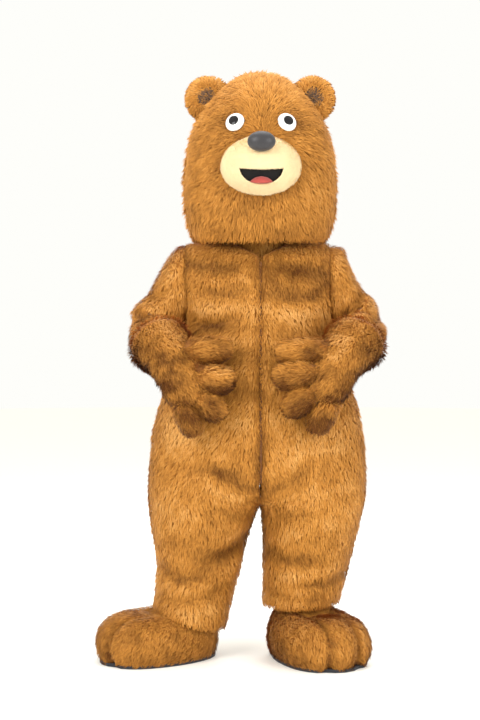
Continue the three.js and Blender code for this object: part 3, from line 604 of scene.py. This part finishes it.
def fur_tree():
    """Locks on a surface, brushed along comb, shortened by pile, and gathered into clumps."""
    tree, first, last = group("Fur", FUR_INPUTS)
    link = tree.links.new
    density = maths(tree, "MULTIPLY", first.outputs["Strands per m2"], named(tree, "cover"))
    scattered = add_node(tree, "GeometryNodeDistributePointsOnFaces", distribute_method="RANDOM")
    link(first.outputs["Geometry"], scattered.inputs["Mesh"])
    link(density, scattered.inputs["Density"])
    link(first.outputs["Seed"], scattered.inputs["Seed"])

    skin = named(tree, "skin", "FLOAT_VECTOR")
    spot = add_node(tree, "GeometryNodeInputPosition").outputs[0]
    clumps = add_node(tree, "ShaderNodeTexVoronoi", feature="F1")
    link(spot, clumps.inputs["Vector"])
    link(first.outputs["Clumps per m"], clumps.inputs["Scale"])
    to_clump = vectors(tree, "SUBTRACT", clumps.outputs["Position"], spot)
    per_metre = maths(tree, "MULTIPLY", first.outputs["Clumps per m"], 0.34)
    pull = vectors(tree, "SCALE", to_clump, scale=per_metre)
    stray = random_between(tree, (-1, -1, -1), (1, 1, 1), 11, "FLOAT_VECTOR")
    stray = vectors(tree, "SCALE", stray, scale=first.outputs["Scatter"])
    up = vectors(tree, "SCALE", skin, scale=first.outputs["Lift"])
    way = vectors(tree, "ADD", named(tree, "comb", "FLOAT_VECTOR"), up)
    way = vectors(tree, "ADD", way, pull)
    way = vectors(tree, "NORMALIZE", vectors(tree, "ADD", way, stray))
    turn = add_node(tree, "FunctionNodeAxesToRotation", primary_axis="Z", secondary_axis="Y")
    link(way, turn.inputs["Primary Axis"])
    link(skin, turn.inputs["Secondary Axis"])

    cell = add_node(tree, "ShaderNodeSeparateXYZ")
    link(clumps.outputs["Color"], cell.inputs[0])
    tone = maths(tree, "ADD", named(tree, "shade"), random_between(tree, -0.09, 0.09, 12))
    tone = maths(tree, "ADD", tone, maths(tree, "MULTIPLY_ADD", cell.outputs["X"], 0.12, -0.06))
    tone = maths(tree, "MAXIMUM", maths(tree, "MINIMUM", tone, 0.98), 0.02)
    points = stored(tree, scattered.outputs["Points"], "tone", tone)

    long = maths(tree, "MULTIPLY", first.outputs["Length"], named(tree, "pile"))
    long = maths(tree, "MULTIPLY", long, random_between(tree, 0.7, 1.15, 13))
    wide = maths(tree, "MULTIPLY", first.outputs["Width"], random_between(tree, 0.6, 1.3, 14))
    size = add_node(tree, "ShaderNodeCombineXYZ")
    link(wide, size.inputs["X"])
    link(long, size.inputs["Y"])
    link(long, size.inputs["Z"])
    strands = planted(tree, points, first.outputs["Strand"], turn.outputs["Rotation"], size.outputs[0])

    across = maths(tree, "ADD", named(tree, "tone"), maths(tree, "MULTIPLY", named(tree, "side"), 0.012))
    map_spot = add_node(tree, "ShaderNodeCombineXYZ")
    link(across, map_spot.inputs["X"])
    link(named(tree, "along"), map_spot.inputs["Y"])
    mapped = stored(tree, strands, UV_NAME, map_spot.outputs[0], "CORNER", "FLOAT2")
    hand_over(tree, mapped, first, last)
    return tree


def strand_object():
    """One curved lock, a unit long up Z and a unit wide across X, with its outer face to +Y."""
    mesh = bpy.data.meshes.new("strand")
    corners = [(0, 0, 0), (-0.5, 0.13, 0.5), (0.5, 0.13, 0.5), (0, -0.06, 1)]
    mesh.from_pydata(corners, [], [(0, 1, 2), (1, 3, 2)])
    mesh.polygons.foreach_set("use_smooth", [True, True])
    store(mesh, "along", [0.02, 0.5, 0.5, 0.98])
    store(mesh, "side", [0, -1, 1, 0])
    return new_object("strand", mesh)


BRUSHED_FIELDS = ("skin", "comb", "cover", "shade", "pile")


def drop_fields(mesh, names):
    for name in names:
        if name in mesh.attributes:
            mesh.attributes.remove(mesh.attributes[name])


def grow(
    surface, name, pile, seed, width=None, density=1.0, lift=0.6, scatter=0.24, clumps=48.0, look=None
):
    """The pile on a surface that has been brushed, as a piece of its own."""
    strand = strand_object()
    base = new_object(name + "_base", surface.data.copy())
    values = {
        "Strand": strand,
        "Strands per m2": sizes().strands_per_m2 * density,
        "Length": pile,
        "Width": width or sizes().strand_width,
        "Lift": lift,
        "Scatter": scatter,
        "Clumps per m": clumps,
        "Seed": seed,
        "Material": look or fur_strands(),
    }
    run_tree(base, bpy.data.node_groups.get("Fur") or fur_tree(), values)
    fur = settled(base, name)
    bpy.data.objects.remove(strand)
    mesh = fur.data
    co = points_of(mesh)
    co[:, 2] = np.maximum(co[:, 2], FLOOR_Z + 0.0005)
    set_points(mesh, co)
    skin = np.empty(len(mesh.vertices) * 3)
    mesh.attributes["skin"].data.foreach_get("vector", skin)
    facing = unit(0.72 * skin.reshape(-1, 3) + 0.28 * normals_of(mesh))
    mesh.normals_split_custom_set_from_vertices(facing.tolist())
    drop_fields(mesh, (*BRUSHED_FIELDS, "tone", "along", "side"))
    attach(fur, "root")
    return fur


def near_rim(co, skin, out, reach):
    """1 at the cut edge of a panel's outer face, fading over reach."""
    facing = (skin * out).sum(1)
    rim = np.flatnonzero(np.abs(facing) <= OUTER)
    tree = KDTree(len(rim))
    for k in rim:
        tree.insert(Vector(co[k]), int(k))
    tree.balance()
    near = np.zeros(len(co))
    for k in np.flatnonzero(facing > OUTER):
        near[k] = math.exp(-((tree.find(Vector(co[k]))[2] / reach) ** 2))
    return near


def brushed(obj, line, grain, seed, bare=None, folds=None, swirls=(0.45, 0.4), tint_and_painted_shade=0.0):
    """Stores on obj what the fur needs: where it grows, which way it lies, how long and how light."""
    mesh = obj.data
    co = points_of(mesh)
    skin = normals_of(mesh)
    out = unit(co - nearest_on(line, co)) if line else skin
    outside = (skin * out).sum(1) > OUTER
    flow = grain(co) + swirls[0] * swirl(co, 5.0, seed) + swirls[1] * swirl(co, 17.0, seed + 3)
    flow = unit(flow - skin * (flow * skin).sum(1, keepdims=True))
    bare = np.zeros(len(co)) if bare is None else bare(co)
    folds = np.zeros(len(co)) if folds is None else folds
    light = 0.5 + 0.14 * wobble(co, 7.0, seed + 5) + 0.13 * wobble(co, 26.0, seed + 6)
    # Painted shade and light: darker in the troughs of the folds and lighter on their ridges, darker where
    # the pile is cut short at seams, grooves and round the face, and lighter where the skin faces up than
    # where it faces down. The last argument brings each piece's own tone and its painted shade.
    light = light + tint_and_painted_shade - 17.0 * folds - 0.3 * bare + 0.12 * skin[:, 2]
    store(mesh, "skin", skin, "FLOAT_VECTOR")
    store(mesh, "comb", flow, "FLOAT_VECTOR")
    store(mesh, "cover", outside.astype(float))
    store(mesh, "shade", np.clip(light, 0.05, 0.95))
    store(mesh, "pile", np.clip(1 - 0.55 * bare, 0.3, 1))


def stroke(*way):
    way = np.array(way)
    return lambda co: np.tile(way, (len(co), 1))


def along_line(line):
    """The pile lies along a line, from its start to its end."""
    ends = [np.array(p) for p in line]

    def grain(co):
        ahead = np.zeros_like(co)
        total = np.zeros(len(co))
        for a, b in zip(ends[:-1], ends[1:]):
            weight = 1 / (np.linalg.norm(co - (a + b) / 2, axis=1) ** 3 + 1e-6)
            ahead += weight[:, None] * (b - a) / np.linalg.norm(b - a)
            total += weight
        return ahead / total[:, None]

    return grain


def joined(objects, name):
    bm = bmesh.new()
    for obj in objects:
        bm.from_mesh(obj.data)
    mesh = bpy.data.meshes.new(name)
    bm.to_mesh(mesh)
    bm.free()
    for obj in objects:
        bpy.data.objects.remove(obj)
    return new_object(name, mesh)


def finish_shell(obj, title, look, slot, *nodes):
    """Gives a shell its name and material, and lets it stand for its CAD nodes."""
    dress(obj, look)
    drop_fields(obj.data, BRUSHED_FIELDS)
    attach(obj, "root")
    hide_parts(*nodes)
    obj.name = obj.data.name = title


class CostumePiece:
    """An operator that builds pieces of the costume."""

    bl_options = {"REGISTER", "UNDO"}


class COSTUME_OT_suit(CostumePiece, bpy.types.Operator):
    """Body and legs of the suit, with their folds and fur"""

    bl_idname = "costume.suit"
    bl_label = "Suit"

    # each panel's cloth before sewing: its size laid flat, in metres, and its area
    CUTS = {
        "front_right": ((0.50, 1.40), 0.50),
        "front_left": ((0.48, 1.33), 0.47),
        "back_right": ((0.50, 1.42), 0.51),
        "back_left": ((0.48, 1.36), 0.48),
    }

    def execute(self, context):
        for seed, (node, (flat, area)) in enumerate(self.CUTS.items()):
            face, side = node.split("_")
            line = side_line(TRUNK_LINES[side], side)
            obj = copied(node, 2)
            co = points_of(obj.data)
            out = unit(co - nearest_on(line, co))
            folds = crease_at(co)
            soft = 0.004 * wobble(co, 6.0, 3) + 0.0025 * wobble(co, 15.0, 4)
            edge = np.clip((co[:, 2] - FLOOR_Z - 0.15) / 0.1, 0.2, 1)
            set_points(obj.data, co + out * ((soft - folds) * edge)[:, None])
            rim = near_rim(co, normals_of(obj.data), out, 0.013)

            # How far the pile is cut short along the seams, most at the armhole and low on the zip; brushed
            # paints the fur darker there in step, as painted shade.
            def seam(co, rim=rim, face=face):
                high = co[:, 2] - FLOOR_Z
                aside = np.abs(co[:, 0])
                arm = (high > ARM_HOLE[0]) & (aside > 0.16) & (high < ARM_HOLE[1])
                zipped = (aside < 0.03) & (face == "front") & (high > ZIP_RUN[0]) & (high < ZIP_RUN[1])
                return rim * (0.15 + 0.6 * arm + zipped * (0.2 + 0.4 * (high < 0.85)))

            down = stroke(0.12 * side_sign(side), 0, -1)
            brushed(obj, line, down, 20 + seed, bare=seam, folds=folds, tint_and_painted_shade=painted_nap_shade(co))
            fur = grow(obj, "fur_" + node, sizes().suit_pile, 100 + seed)
            finish_shell(obj, "suit_" + node, fur_backing(), "suit_fur", node)
        return {"FINISHED"}


class COSTUME_OT_sleeves(CostumePiece, bpy.types.Operator):
    """Sleeves, with their rolls at the elbow and their fur"""

    bl_idname = "costume.sleeves"
    bl_label = "Sleeves"

    def execute(self, context):
        for seed, side in enumerate(("right", "left")):
            line = side_line(ARM_LINES[side], side)
            obj = copied("sleeve_" + side, 2)
            co = points_of(obj.data)
            out = unit(co - nearest_on(line, co))
            soft = 0.005 * wobble(co, 11.0, 5 + seed) + 0.003 * wobble(co, 24.0, 6)
            near_body = np.clip((np.abs(co[:, 0]) - 0.25) / 0.04, 0, 1)
            folds = crease_at(co, ("arm",))
            set_points(obj.data, co + out * ((soft - folds) * near_body)[:, None])
            # Painted shade: the fur darker low on the sleeve, below 1.16 m, on a tone a little darker all
            # over.
            tone_and_painted_shade_below = -0.05 - 0.22 * np.clip((FLOOR_Z + 1.16 - co[:, 2]) / 0.08, 0, 1)
            # The pile is cut short at the sleeve's edges, and brushed paints it darker there as painted
            # shade.
            rim = 0.8 * near_rim(co, normals_of(obj.data), out, 0.013)
            down = stroke(0.2 * side_sign(side), -0.15, -1)
            brushed(obj, line, down, 40 + seed, bare=lambda co, rim=rim: rim, folds=folds, tint_and_painted_shade=tone_and_painted_shade_below)
            fur = grow(obj, "fur_sleeve_" + side, sizes().suit_pile, 120 + seed)
            finish_shell(obj, "suit_sleeve_" + side, fur_backing(), "suit_fur", "sleeve_" + side)
        return {"FINISHED"}


class COSTUME_OT_gloves(CostumePiece, bpy.types.Operator):
    """Gloves, each a hand with a thumb and three fingers"""

    bl_idname = "costume.gloves"
    bl_label = "Gloves"

    def execute(self, context):
        for seed, side in enumerate(("right", "left")):
            prefix = f"glove_{side}_"
            lines = {"hand": HAND_LINES[side], **DIGIT_LINES[side]}
            parts = []
            for k, (part, points) in enumerate(lines.items()):
                line = side_line(points, side)
                obj = copied(prefix + part, 2 if part == "hand" else 1)
                if part != "hand":
                    tip = line[1] + (line[0] - line[1]).normalized() * 0.01
                    line = [line[0] - (line[1] - line[0]) * 0.2, tip]
                co = points_of(obj.data)
                plump = 0.009 if part == "hand" else 0.012
                set_points(obj.data, co + unit(co - nearest_on(line, co)) * plump)
                # Painted shade: darker on the undersides of the hand and digits, on a tone darker all over,
                # with mottled patches of tone.
                tone_and_painted_shade_below = np.maximum(-0.24 + 0.2 * normals_of(obj.data)[:, 2], -0.34)
                tone_and_painted_shade_below = tone_and_painted_shade_below + 0.3 * wobble(co, 20.0, 70) + 0.2 * wobble(co, 45.0, 71)
                brushed(obj, line, along_line(line), 60 + seed * 9 + k, tint_and_painted_shade=tone_and_painted_shade_below)
                parts.append(obj)
            glove = joined(parts, "glove_" + side)
            for polygon in glove.data.polygons:
                polygon.use_smooth = True
            fur = grow(
                glove, "fur_glove_" + side, sizes().glove_pile, 140 + seed,
                density=1.2, lift=0.8, scatter=0.42, clumps=34.0,
            )
            nodes = [prefix + part for part in lines]
            finish_shell(glove, "glove_" + side, fur_backing(), "glove_fur", *nodes)
        return {"FINISHED"}


class COSTUME_OT_shoes(CostumePiece, bpy.types.Operator):
    """Shoe covers with their rubber soles"""

    bl_idname = "costume.shoes"
    bl_label = "Shoe Covers"

    GROOVE_ASIDE = 0.052  # the two grooves between the toes, from the middle of a cover
    GROOVE_DEPTH = 0.012

    def execute(self, context):
        c = colours()
        rubber = cloth_material("sole rubber", dimmed(c.sole, 0.7), c.sole, 320.0, EVEN, 0.0006, 0.7)
        for seed, side in enumerate(("right", "left")):
            node = f"shoe_{side}_upper"
            line = side_line(SHOE_LINES[side], side)
            obj = copied(node, 2)
            heel, toe = line[1], line[2]
            ahead = (toe - heel).normalized()
            aside = Vector((-ahead.y, ahead.x, 0))

            def groove(co, heel=heel, ahead=ahead, aside=aside):
                off = co - np.array(heel)
                forward, sideways = off @ np.array(ahead), off @ np.array(aside)
                near = np.exp(-(((np.abs(sideways) - self.GROOVE_ASIDE) / 0.011) ** 2))
                return near * np.clip((forward - 0.1) / 0.04, 0, 1)

            co = points_of(obj.data)
            out = unit(co - nearest_on(line, co))
            set_points(obj.data, co - out * (self.GROOVE_DEPTH * groove(co))[:, None])
            forward = stroke(ahead.x * 0.75, ahead.y * 0.75, -0.75)
            # The grooves between the toes are dented, their pile cut short, and painted darker as painted
            # shade.
            brushed(obj, line, forward, 80 + seed, bare=groove, tint_and_painted_shade=-0.1)
            fur = grow(obj, "fur_shoe_" + side, sizes().shoe_pile, 160 + seed, density=1.15)
            finish_shell(obj, "shoe_" + side, fur_backing(), "shoe_fur", node)
            dress(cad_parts[f"shoe_{side}_sole"], rubber)
        return {"FINISHED"}


def from_face(co):
    """The fur of the head spreads out from the face and falls."""
    return 0.75 * unit(co - np.array(place(FACE))) + np.array((0, 0.1, -0.75))


def by_features(co):
    """1 round the eyes and the muzzle, where the fur of the face is cut short; brushed paints the fur there
    darker too, as painted shade.
    """
    x, z = co[:, 0], co[:, 2] - FLOOR_Z
    bare = np.zeros(len(co))
    for eye_x, eye_z in EYES:
        bare = np.maximum(bare, np.exp(-((np.hypot(x - eye_x, z - eye_z) / EYE_REACH) ** 4)))
    snout = np.sqrt((x / MUZZLE_REACH[0]) ** 2 + ((z - MUZZLE[2]) / MUZZLE_REACH[1]) ** 2)
    bare = np.maximum(bare, 0.8 * np.exp(-(snout**8)))
    return np.where(co[:, 1] < -0.1, bare, 0)


class COSTUME_OT_head(CostumePiece, bpy.types.Operator):
    """Foam head under long fur, with its neck tube"""

    bl_idname = "costume.head"
    bl_label = "Head"

    def execute(self, context):
        line = [place(p) for p in HEAD_LINE]
        for seed, node in enumerate(("head_front", "head_back")):
            obj = copied(node, 1)
            bare = by_features if node == "head_front" else None
            brushed(obj, line, from_face, 200 + seed, bare=bare, tint_and_painted_shade=-0.07)
            fur = grow(
                obj, "fur_" + node, sizes().head_pile, 180 + seed,
                density=1.1, lift=0.55, scatter=0.26, clumps=38.0,
            )
            finish_shell(obj, "foam_" + node, fur_backing(), "head_fur", node)
        neck = copied("neck_tube", 1)
        brushed(neck, line, stroke(0, 0, -1), 210)
        fur = grow(neck, "fur_neck", sizes().glove_pile, 186, density=0.8)
        finish_shell(neck, "neck", fur_backing(), "suit_fur", "neck_tube")
        return {"FINISHED"}


class COSTUME_OT_ears(CostumePiece, bpy.types.Operator):
    """Round ears with a darker lining"""

    bl_idname = "costume.ears"
    bl_label = "Ears"

    LINING_PILE = 0.009
    LINING_STRAND = 0.0022

    def execute(self, context):
        c = colours()
        dark = strand_material(
            "ear lining pile", dimmed(c.ear_inside, 0.45), c.ear_inside, dimmed(c.ear_inside, 1.5)
        )
        backing = cloth_material("ear lining", dimmed(c.ear_inside, 0.4), c.ear_inside)
        thin = sizes().strand_width * 0.85
        for seed, side in enumerate(("right", "left")):
            sign = side_sign(side)
            middle = np.array(place(EAR, sign))

            def outwards(co, middle=middle):
                return 0.9 * unit(co - middle) + np.array((0, 0, -0.15))

            ear = copied("ear_" + side, 1)
            brushed(ear, None, outwards, 220 + seed)
            fur = grow(ear, "fur_ear_" + side, sizes().ear_pile, 190 + seed, width=thin, density=1.3)
            finish_shell(ear, "round_ear_" + side, fur_backing(), "head_fur", "ear_" + side)
            node = f"ear_{side}_lining"
            inside = copied(node, 1)
            brushed(inside, None, stroke(-0.4 * sign, 0, -0.9), 226 + seed)
            fur = grow(
                inside, "fur_" + node, self.LINING_PILE, 194 + seed,
                width=self.LINING_STRAND, density=1.6, lift=0.5, look=dark,
            )
            finish_shell(inside, "lining_ear_" + side, backing, "inner_ear_fur", node)
        return {"FINISHED"}


class COSTUME_OT_muzzle(CostumePiece, bpy.types.Operator):
    """Cream muzzle with its mouth, tongue and nose"""

    bl_idname = "costume.muzzle"
    bl_label = "Muzzle"

    FLEECE_STRAND = 0.0016

    def execute(self, context):
        c = colours()
        fleece = cloth_material("muzzle fleece", dimmed(c.fleece, 0.82), c.fleece, 300.0, EVEN, 0.0012)
        pile = strand_material(
            "muzzle pile", dimmed(c.fleece, 0.78), c.fleece, dimmed(c.fleece, 1.08), root=0.8
        )
        centre = place(MUZZLE)
        line = [centre, centre + Vector((0, 0.001, 0))]
        muzzle = copied("muzzle", 2, sharp_degrees=40)
        brushed(muzzle, line, stroke(0, 0, -1), 240, swirls=(0.6, 0.6))
        fur = grow(
            muzzle, "fur_muzzle", sizes().fleece_pile, 196, width=self.FLEECE_STRAND,
            density=3.2, lift=0.9, scatter=0.5, clumps=90.0, look=pile,
        )
        finish_shell(muzzle, "fleece_muzzle", fleece, "muzzle_fleece", "muzzle")
        black = cloth_material("mouth mesh", dimmed(c.mesh_black, 0.4), c.mesh_black, 700.0, EVEN)
        felt = cloth_material("tongue felt", dimmed(c.tongue, 0.75), c.tongue, 400.0, EVEN, 0.0008)
        foam = cloth_material("nose foam", dimmed(c.nose, 0.75), c.nose, 500.0, EVEN, 0.0004, 0.38)
        for node, sharp_degrees, title, look, slot in (
            ("mouth_mesh", 40, "black_mouth_mesh", black, "black_mesh"),
            ("tongue", 40, "felt_tongue", felt, "tongue_felt"),
            ("nose", 60, "foam_nose", foam, "nose_foam"),
        ):
            finish_shell(copied(node, 2, sharp_degrees), title, look, slot, node)
        return {"FINISHED"}


class COSTUME_OT_eyes(CostumePiece, bpy.types.Operator):
    """Glossy eyes with black pupils"""

    bl_idname = "costume.eyes"
    bl_label = "Eyes"

    def execute(self, context):
        c = colours()
        shell = dimmed(c.eye_white, 0.94)
        white = cloth_material("eye gloss", shell, c.eye_white, 60.0, EVEN, 0.0001, 0.16)
        black = cloth_material("pupil gloss", dimmed(c.pupil, 0.8), c.pupil, 60.0, EVEN, 0.0001, 0.12)
        for side in ("right", "left"):
            for part, look, slot in (("eye_", white, "eye_white"), ("pupil_", black, "pupil_black")):
                node = part + side
                finish_shell(copied(node, 2), "gloss_" + node, look, slot, node)
        return {"FINISHED"}


def teeth_tree():
    """A tooth at every pitch of a path, facing the front."""
    inputs = [("Tooth", "Object"), ("Pitch", "Float"), ("Material", "Material")]
    tree, first, last = group("Zip Teeth", inputs)
    link = tree.links.new
    path = add_node(tree, "GeometryNodeMeshToCurve")
    link(first.outputs["Geometry"], path.inputs["Mesh"])
    even = add_node(tree, "GeometryNodeResampleCurve", mode="LENGTH")
    link(path.outputs["Curve"], even.inputs["Curve"])
    link(first.outputs["Pitch"], even.inputs["Length"])
    turn = add_node(tree, "FunctionNodeAxesToRotation", primary_axis="Z", secondary_axis="Y")
    link(add_node(tree, "GeometryNodeInputTangent").outputs[0], turn.inputs["Primary Axis"])
    turn.inputs["Secondary Axis"].default_value = (0, -1, 0)
    teeth = planted(tree, even.outputs["Curve"], first.outputs["Tooth"], turn.outputs["Rotation"])
    hand_over(tree, teeth, first, last)
    return tree


def box_mesh(name, size):
    bm = bmesh.new()
    bmesh.ops.create_cube(bm, size=1.0)
    bmesh.ops.scale(bm, vec=size, verts=bm.verts)
    mesh = bpy.data.meshes.new(name)
    bm.to_mesh(mesh)
    bm.free()
    return mesh


class COSTUME_OT_zip(CostumePiece, bpy.types.Operator):
    """Zip chain with its teeth, and the slider"""

    bl_idname = "costume.zip"
    bl_label = "Zip"

    TOOTH = (0.0052, 0.0018, 0.0022)
    PROUD = 0.0012  # from the front of the tape to the middle of a tooth
    END_GAP = 0.004

    def execute(self, context):
        c = colours()
        tape = cloth_material("zip tape", dimmed(c.zip, 0.6), c.zip, 400.0, (1, 1, 0.2), 0.0005, 0.8)
        dull, bright = dimmed(c.zip, 0.8), dimmed(c.zip, 1.4)
        metal = cloth_material("zip slider", dull, bright, 200.0, EVEN, 0.0002, 0.35)
        dress(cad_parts["zip"], tape)
        dress(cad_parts["zip_slider"], metal)
        co = points_of(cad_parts["zip"].data)
        levels = np.unique(co[:, 2].round(3))
        fronts = [co[np.abs(co[:, 2] - level) < 0.001, 1].min() for level in levels]
        heights = np.linspace(levels[0] + self.END_GAP, levels[-1] - self.END_GAP, 60)
        depths = np.interp(heights, levels, fronts)
        path = [(0.0, float(y) - self.PROUD, float(z)) for y, z in zip(depths, heights)]
        mesh = bpy.data.meshes.new("zip_path")
        mesh.from_pydata(path, [(k, k + 1) for k in range(len(path) - 1)], [])
        line = new_object("zip_path", mesh)
        tooth = new_object("tooth", box_mesh("tooth", self.TOOTH))
        run_tree(line, teeth_tree(), {"Tooth": tooth, "Pitch": sizes().tooth_pitch, "Material": metal})
        teeth = settled(line, "zip_teeth")
        bpy.data.objects.remove(tooth)
        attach(teeth, "root")
        return {"FINISHED"}


class COSTUME_OT_stage(CostumePiece, bpy.types.Operator):
    """Pale floor, soft studio light and the camera"""

    bl_idname = "costume.stage"
    bl_label = "Stage"

    FLOOR_RADIUS = 14

    LIGHTS = [
        # name, place, aimed at, size, watts
        ("key light", (-2.6, -3.4, 1.6), (0, 0, -0.2), 2.4, 150.0),
        ("fill light", (3.0, -3.0, 0.8), (0, 0, -0.4), 2.6, 95.0),
        ("top light", (0.0, 0.4, 3.2), (0, 0, 0), 3.0, 70.0),
        ("rim light", (0.6, 3.6, 1.4), (0, 0, -0.2), 2.6, 70.0),
    ]

    def execute(self, context):
        scene = context.scene
        camera = bpy.data.objects.new("camera", bpy.data.cameras.new("camera"))
        scene.collection.objects.link(camera)
        camera.location = (-0.068, -5.0, -0.25)
        camera.rotation_euler = (math.radians(90 - 1.64), 0, 0)
        camera.data.lens = 73.7
        camera.data.sensor_width = 36
        scene.camera = camera

        floor_mesh = bpy.data.meshes.new("floor")
        turns = np.linspace(0, 2 * math.pi, 97)[:-1]
        rim = [(self.FLOOR_RADIUS * math.cos(a), self.FLOOR_RADIUS * math.sin(a)) for a in turns]
        floor_mesh.from_pydata([(x, y, FLOOR_Z - 0.0006) for x, y in rim], [], [tuple(range(len(rim)))])
        floor = new_object("floor", floor_mesh)
        floor_look, _, shader = material("floor", 0.9, specular=0.1)
        shader.inputs["Base Color"].default_value = (*colours().floor, 1)
        shader.inputs["Emission Color"].default_value = (*colours().floor, 1)
        shader.inputs["Emission Strength"].default_value = 0.09
        dress(floor, floor_look)

        for name, spot, target, size, watts in self.LIGHTS:
            lamp = bpy.data.lights.new(name, "AREA")
            lamp.shape = "DISK"
            lamp.size = size
            lamp.energy = watts
            holder = bpy.data.objects.new(name, lamp)
            scene.collection.objects.link(holder)
            holder.location = spot
            aim = Vector(target) - Vector(spot)
            holder.rotation_euler = aim.to_track_quat("-Z", "Y").to_euler()
        world = bpy.data.worlds.new("studio")
        world.use_nodes = True
        world.node_tree.nodes["Background"].inputs["Color"].default_value = (0.992, 0.990, 0.955, 1)
        world.node_tree.nodes["Background"].inputs["Strength"].default_value = 1.0
        scene.world = world
        scene.view_settings.view_transform = "Standard"
        return {"FINISHED"}


class COSTUME_PT_panel(bpy.types.Panel):
    """Buttons that build the costume, piece by piece"""

    bl_idname = "COSTUME_PT_panel"
    bl_label = "Costume"
    bl_space_type = "VIEW_3D"
    bl_region_type = "UI"
    bl_category = "Costume"

    def draw(self, context):
        for settings in (context.scene.costume_sizes, context.scene.costume_colours):
            for key in settings.bl_rna.properties.keys():
                if key not in ("rna_type", "name"):
                    self.layout.prop(settings, key)
        for operator in OPERATORS:
            self.layout.operator(operator.bl_idname)


OPERATORS = (
    COSTUME_OT_stage,
    COSTUME_OT_suit,
    COSTUME_OT_sleeves,
    COSTUME_OT_gloves,
    COSTUME_OT_shoes,
    COSTUME_OT_head,
    COSTUME_OT_ears,
    COSTUME_OT_muzzle,
    COSTUME_OT_eyes,
    COSTUME_OT_zip,
)
CLASSES = (CostumeSizes, CostumeColours, *OPERATORS, COSTUME_PT_panel)


def register():
    for cls in CLASSES:
        bpy.utils.register_class(cls)
    bpy.types.Scene.costume_sizes = bpy.props.PointerProperty(type=CostumeSizes)
    bpy.types.Scene.costume_colours = bpy.props.PointerProperty(type=CostumeColours)


def unregister():
    del bpy.types.Scene.costume_colours
    del bpy.types.Scene.costume_sizes
    for cls in reversed(CLASSES):
        bpy.utils.unregister_class(cls)


def main():
    register()
    for operator in OPERATORS:
        area, name = operator.bl_idname.split(".")
        getattr(getattr(bpy.ops, area), name)()


if __name__ == "__main__":
    main()
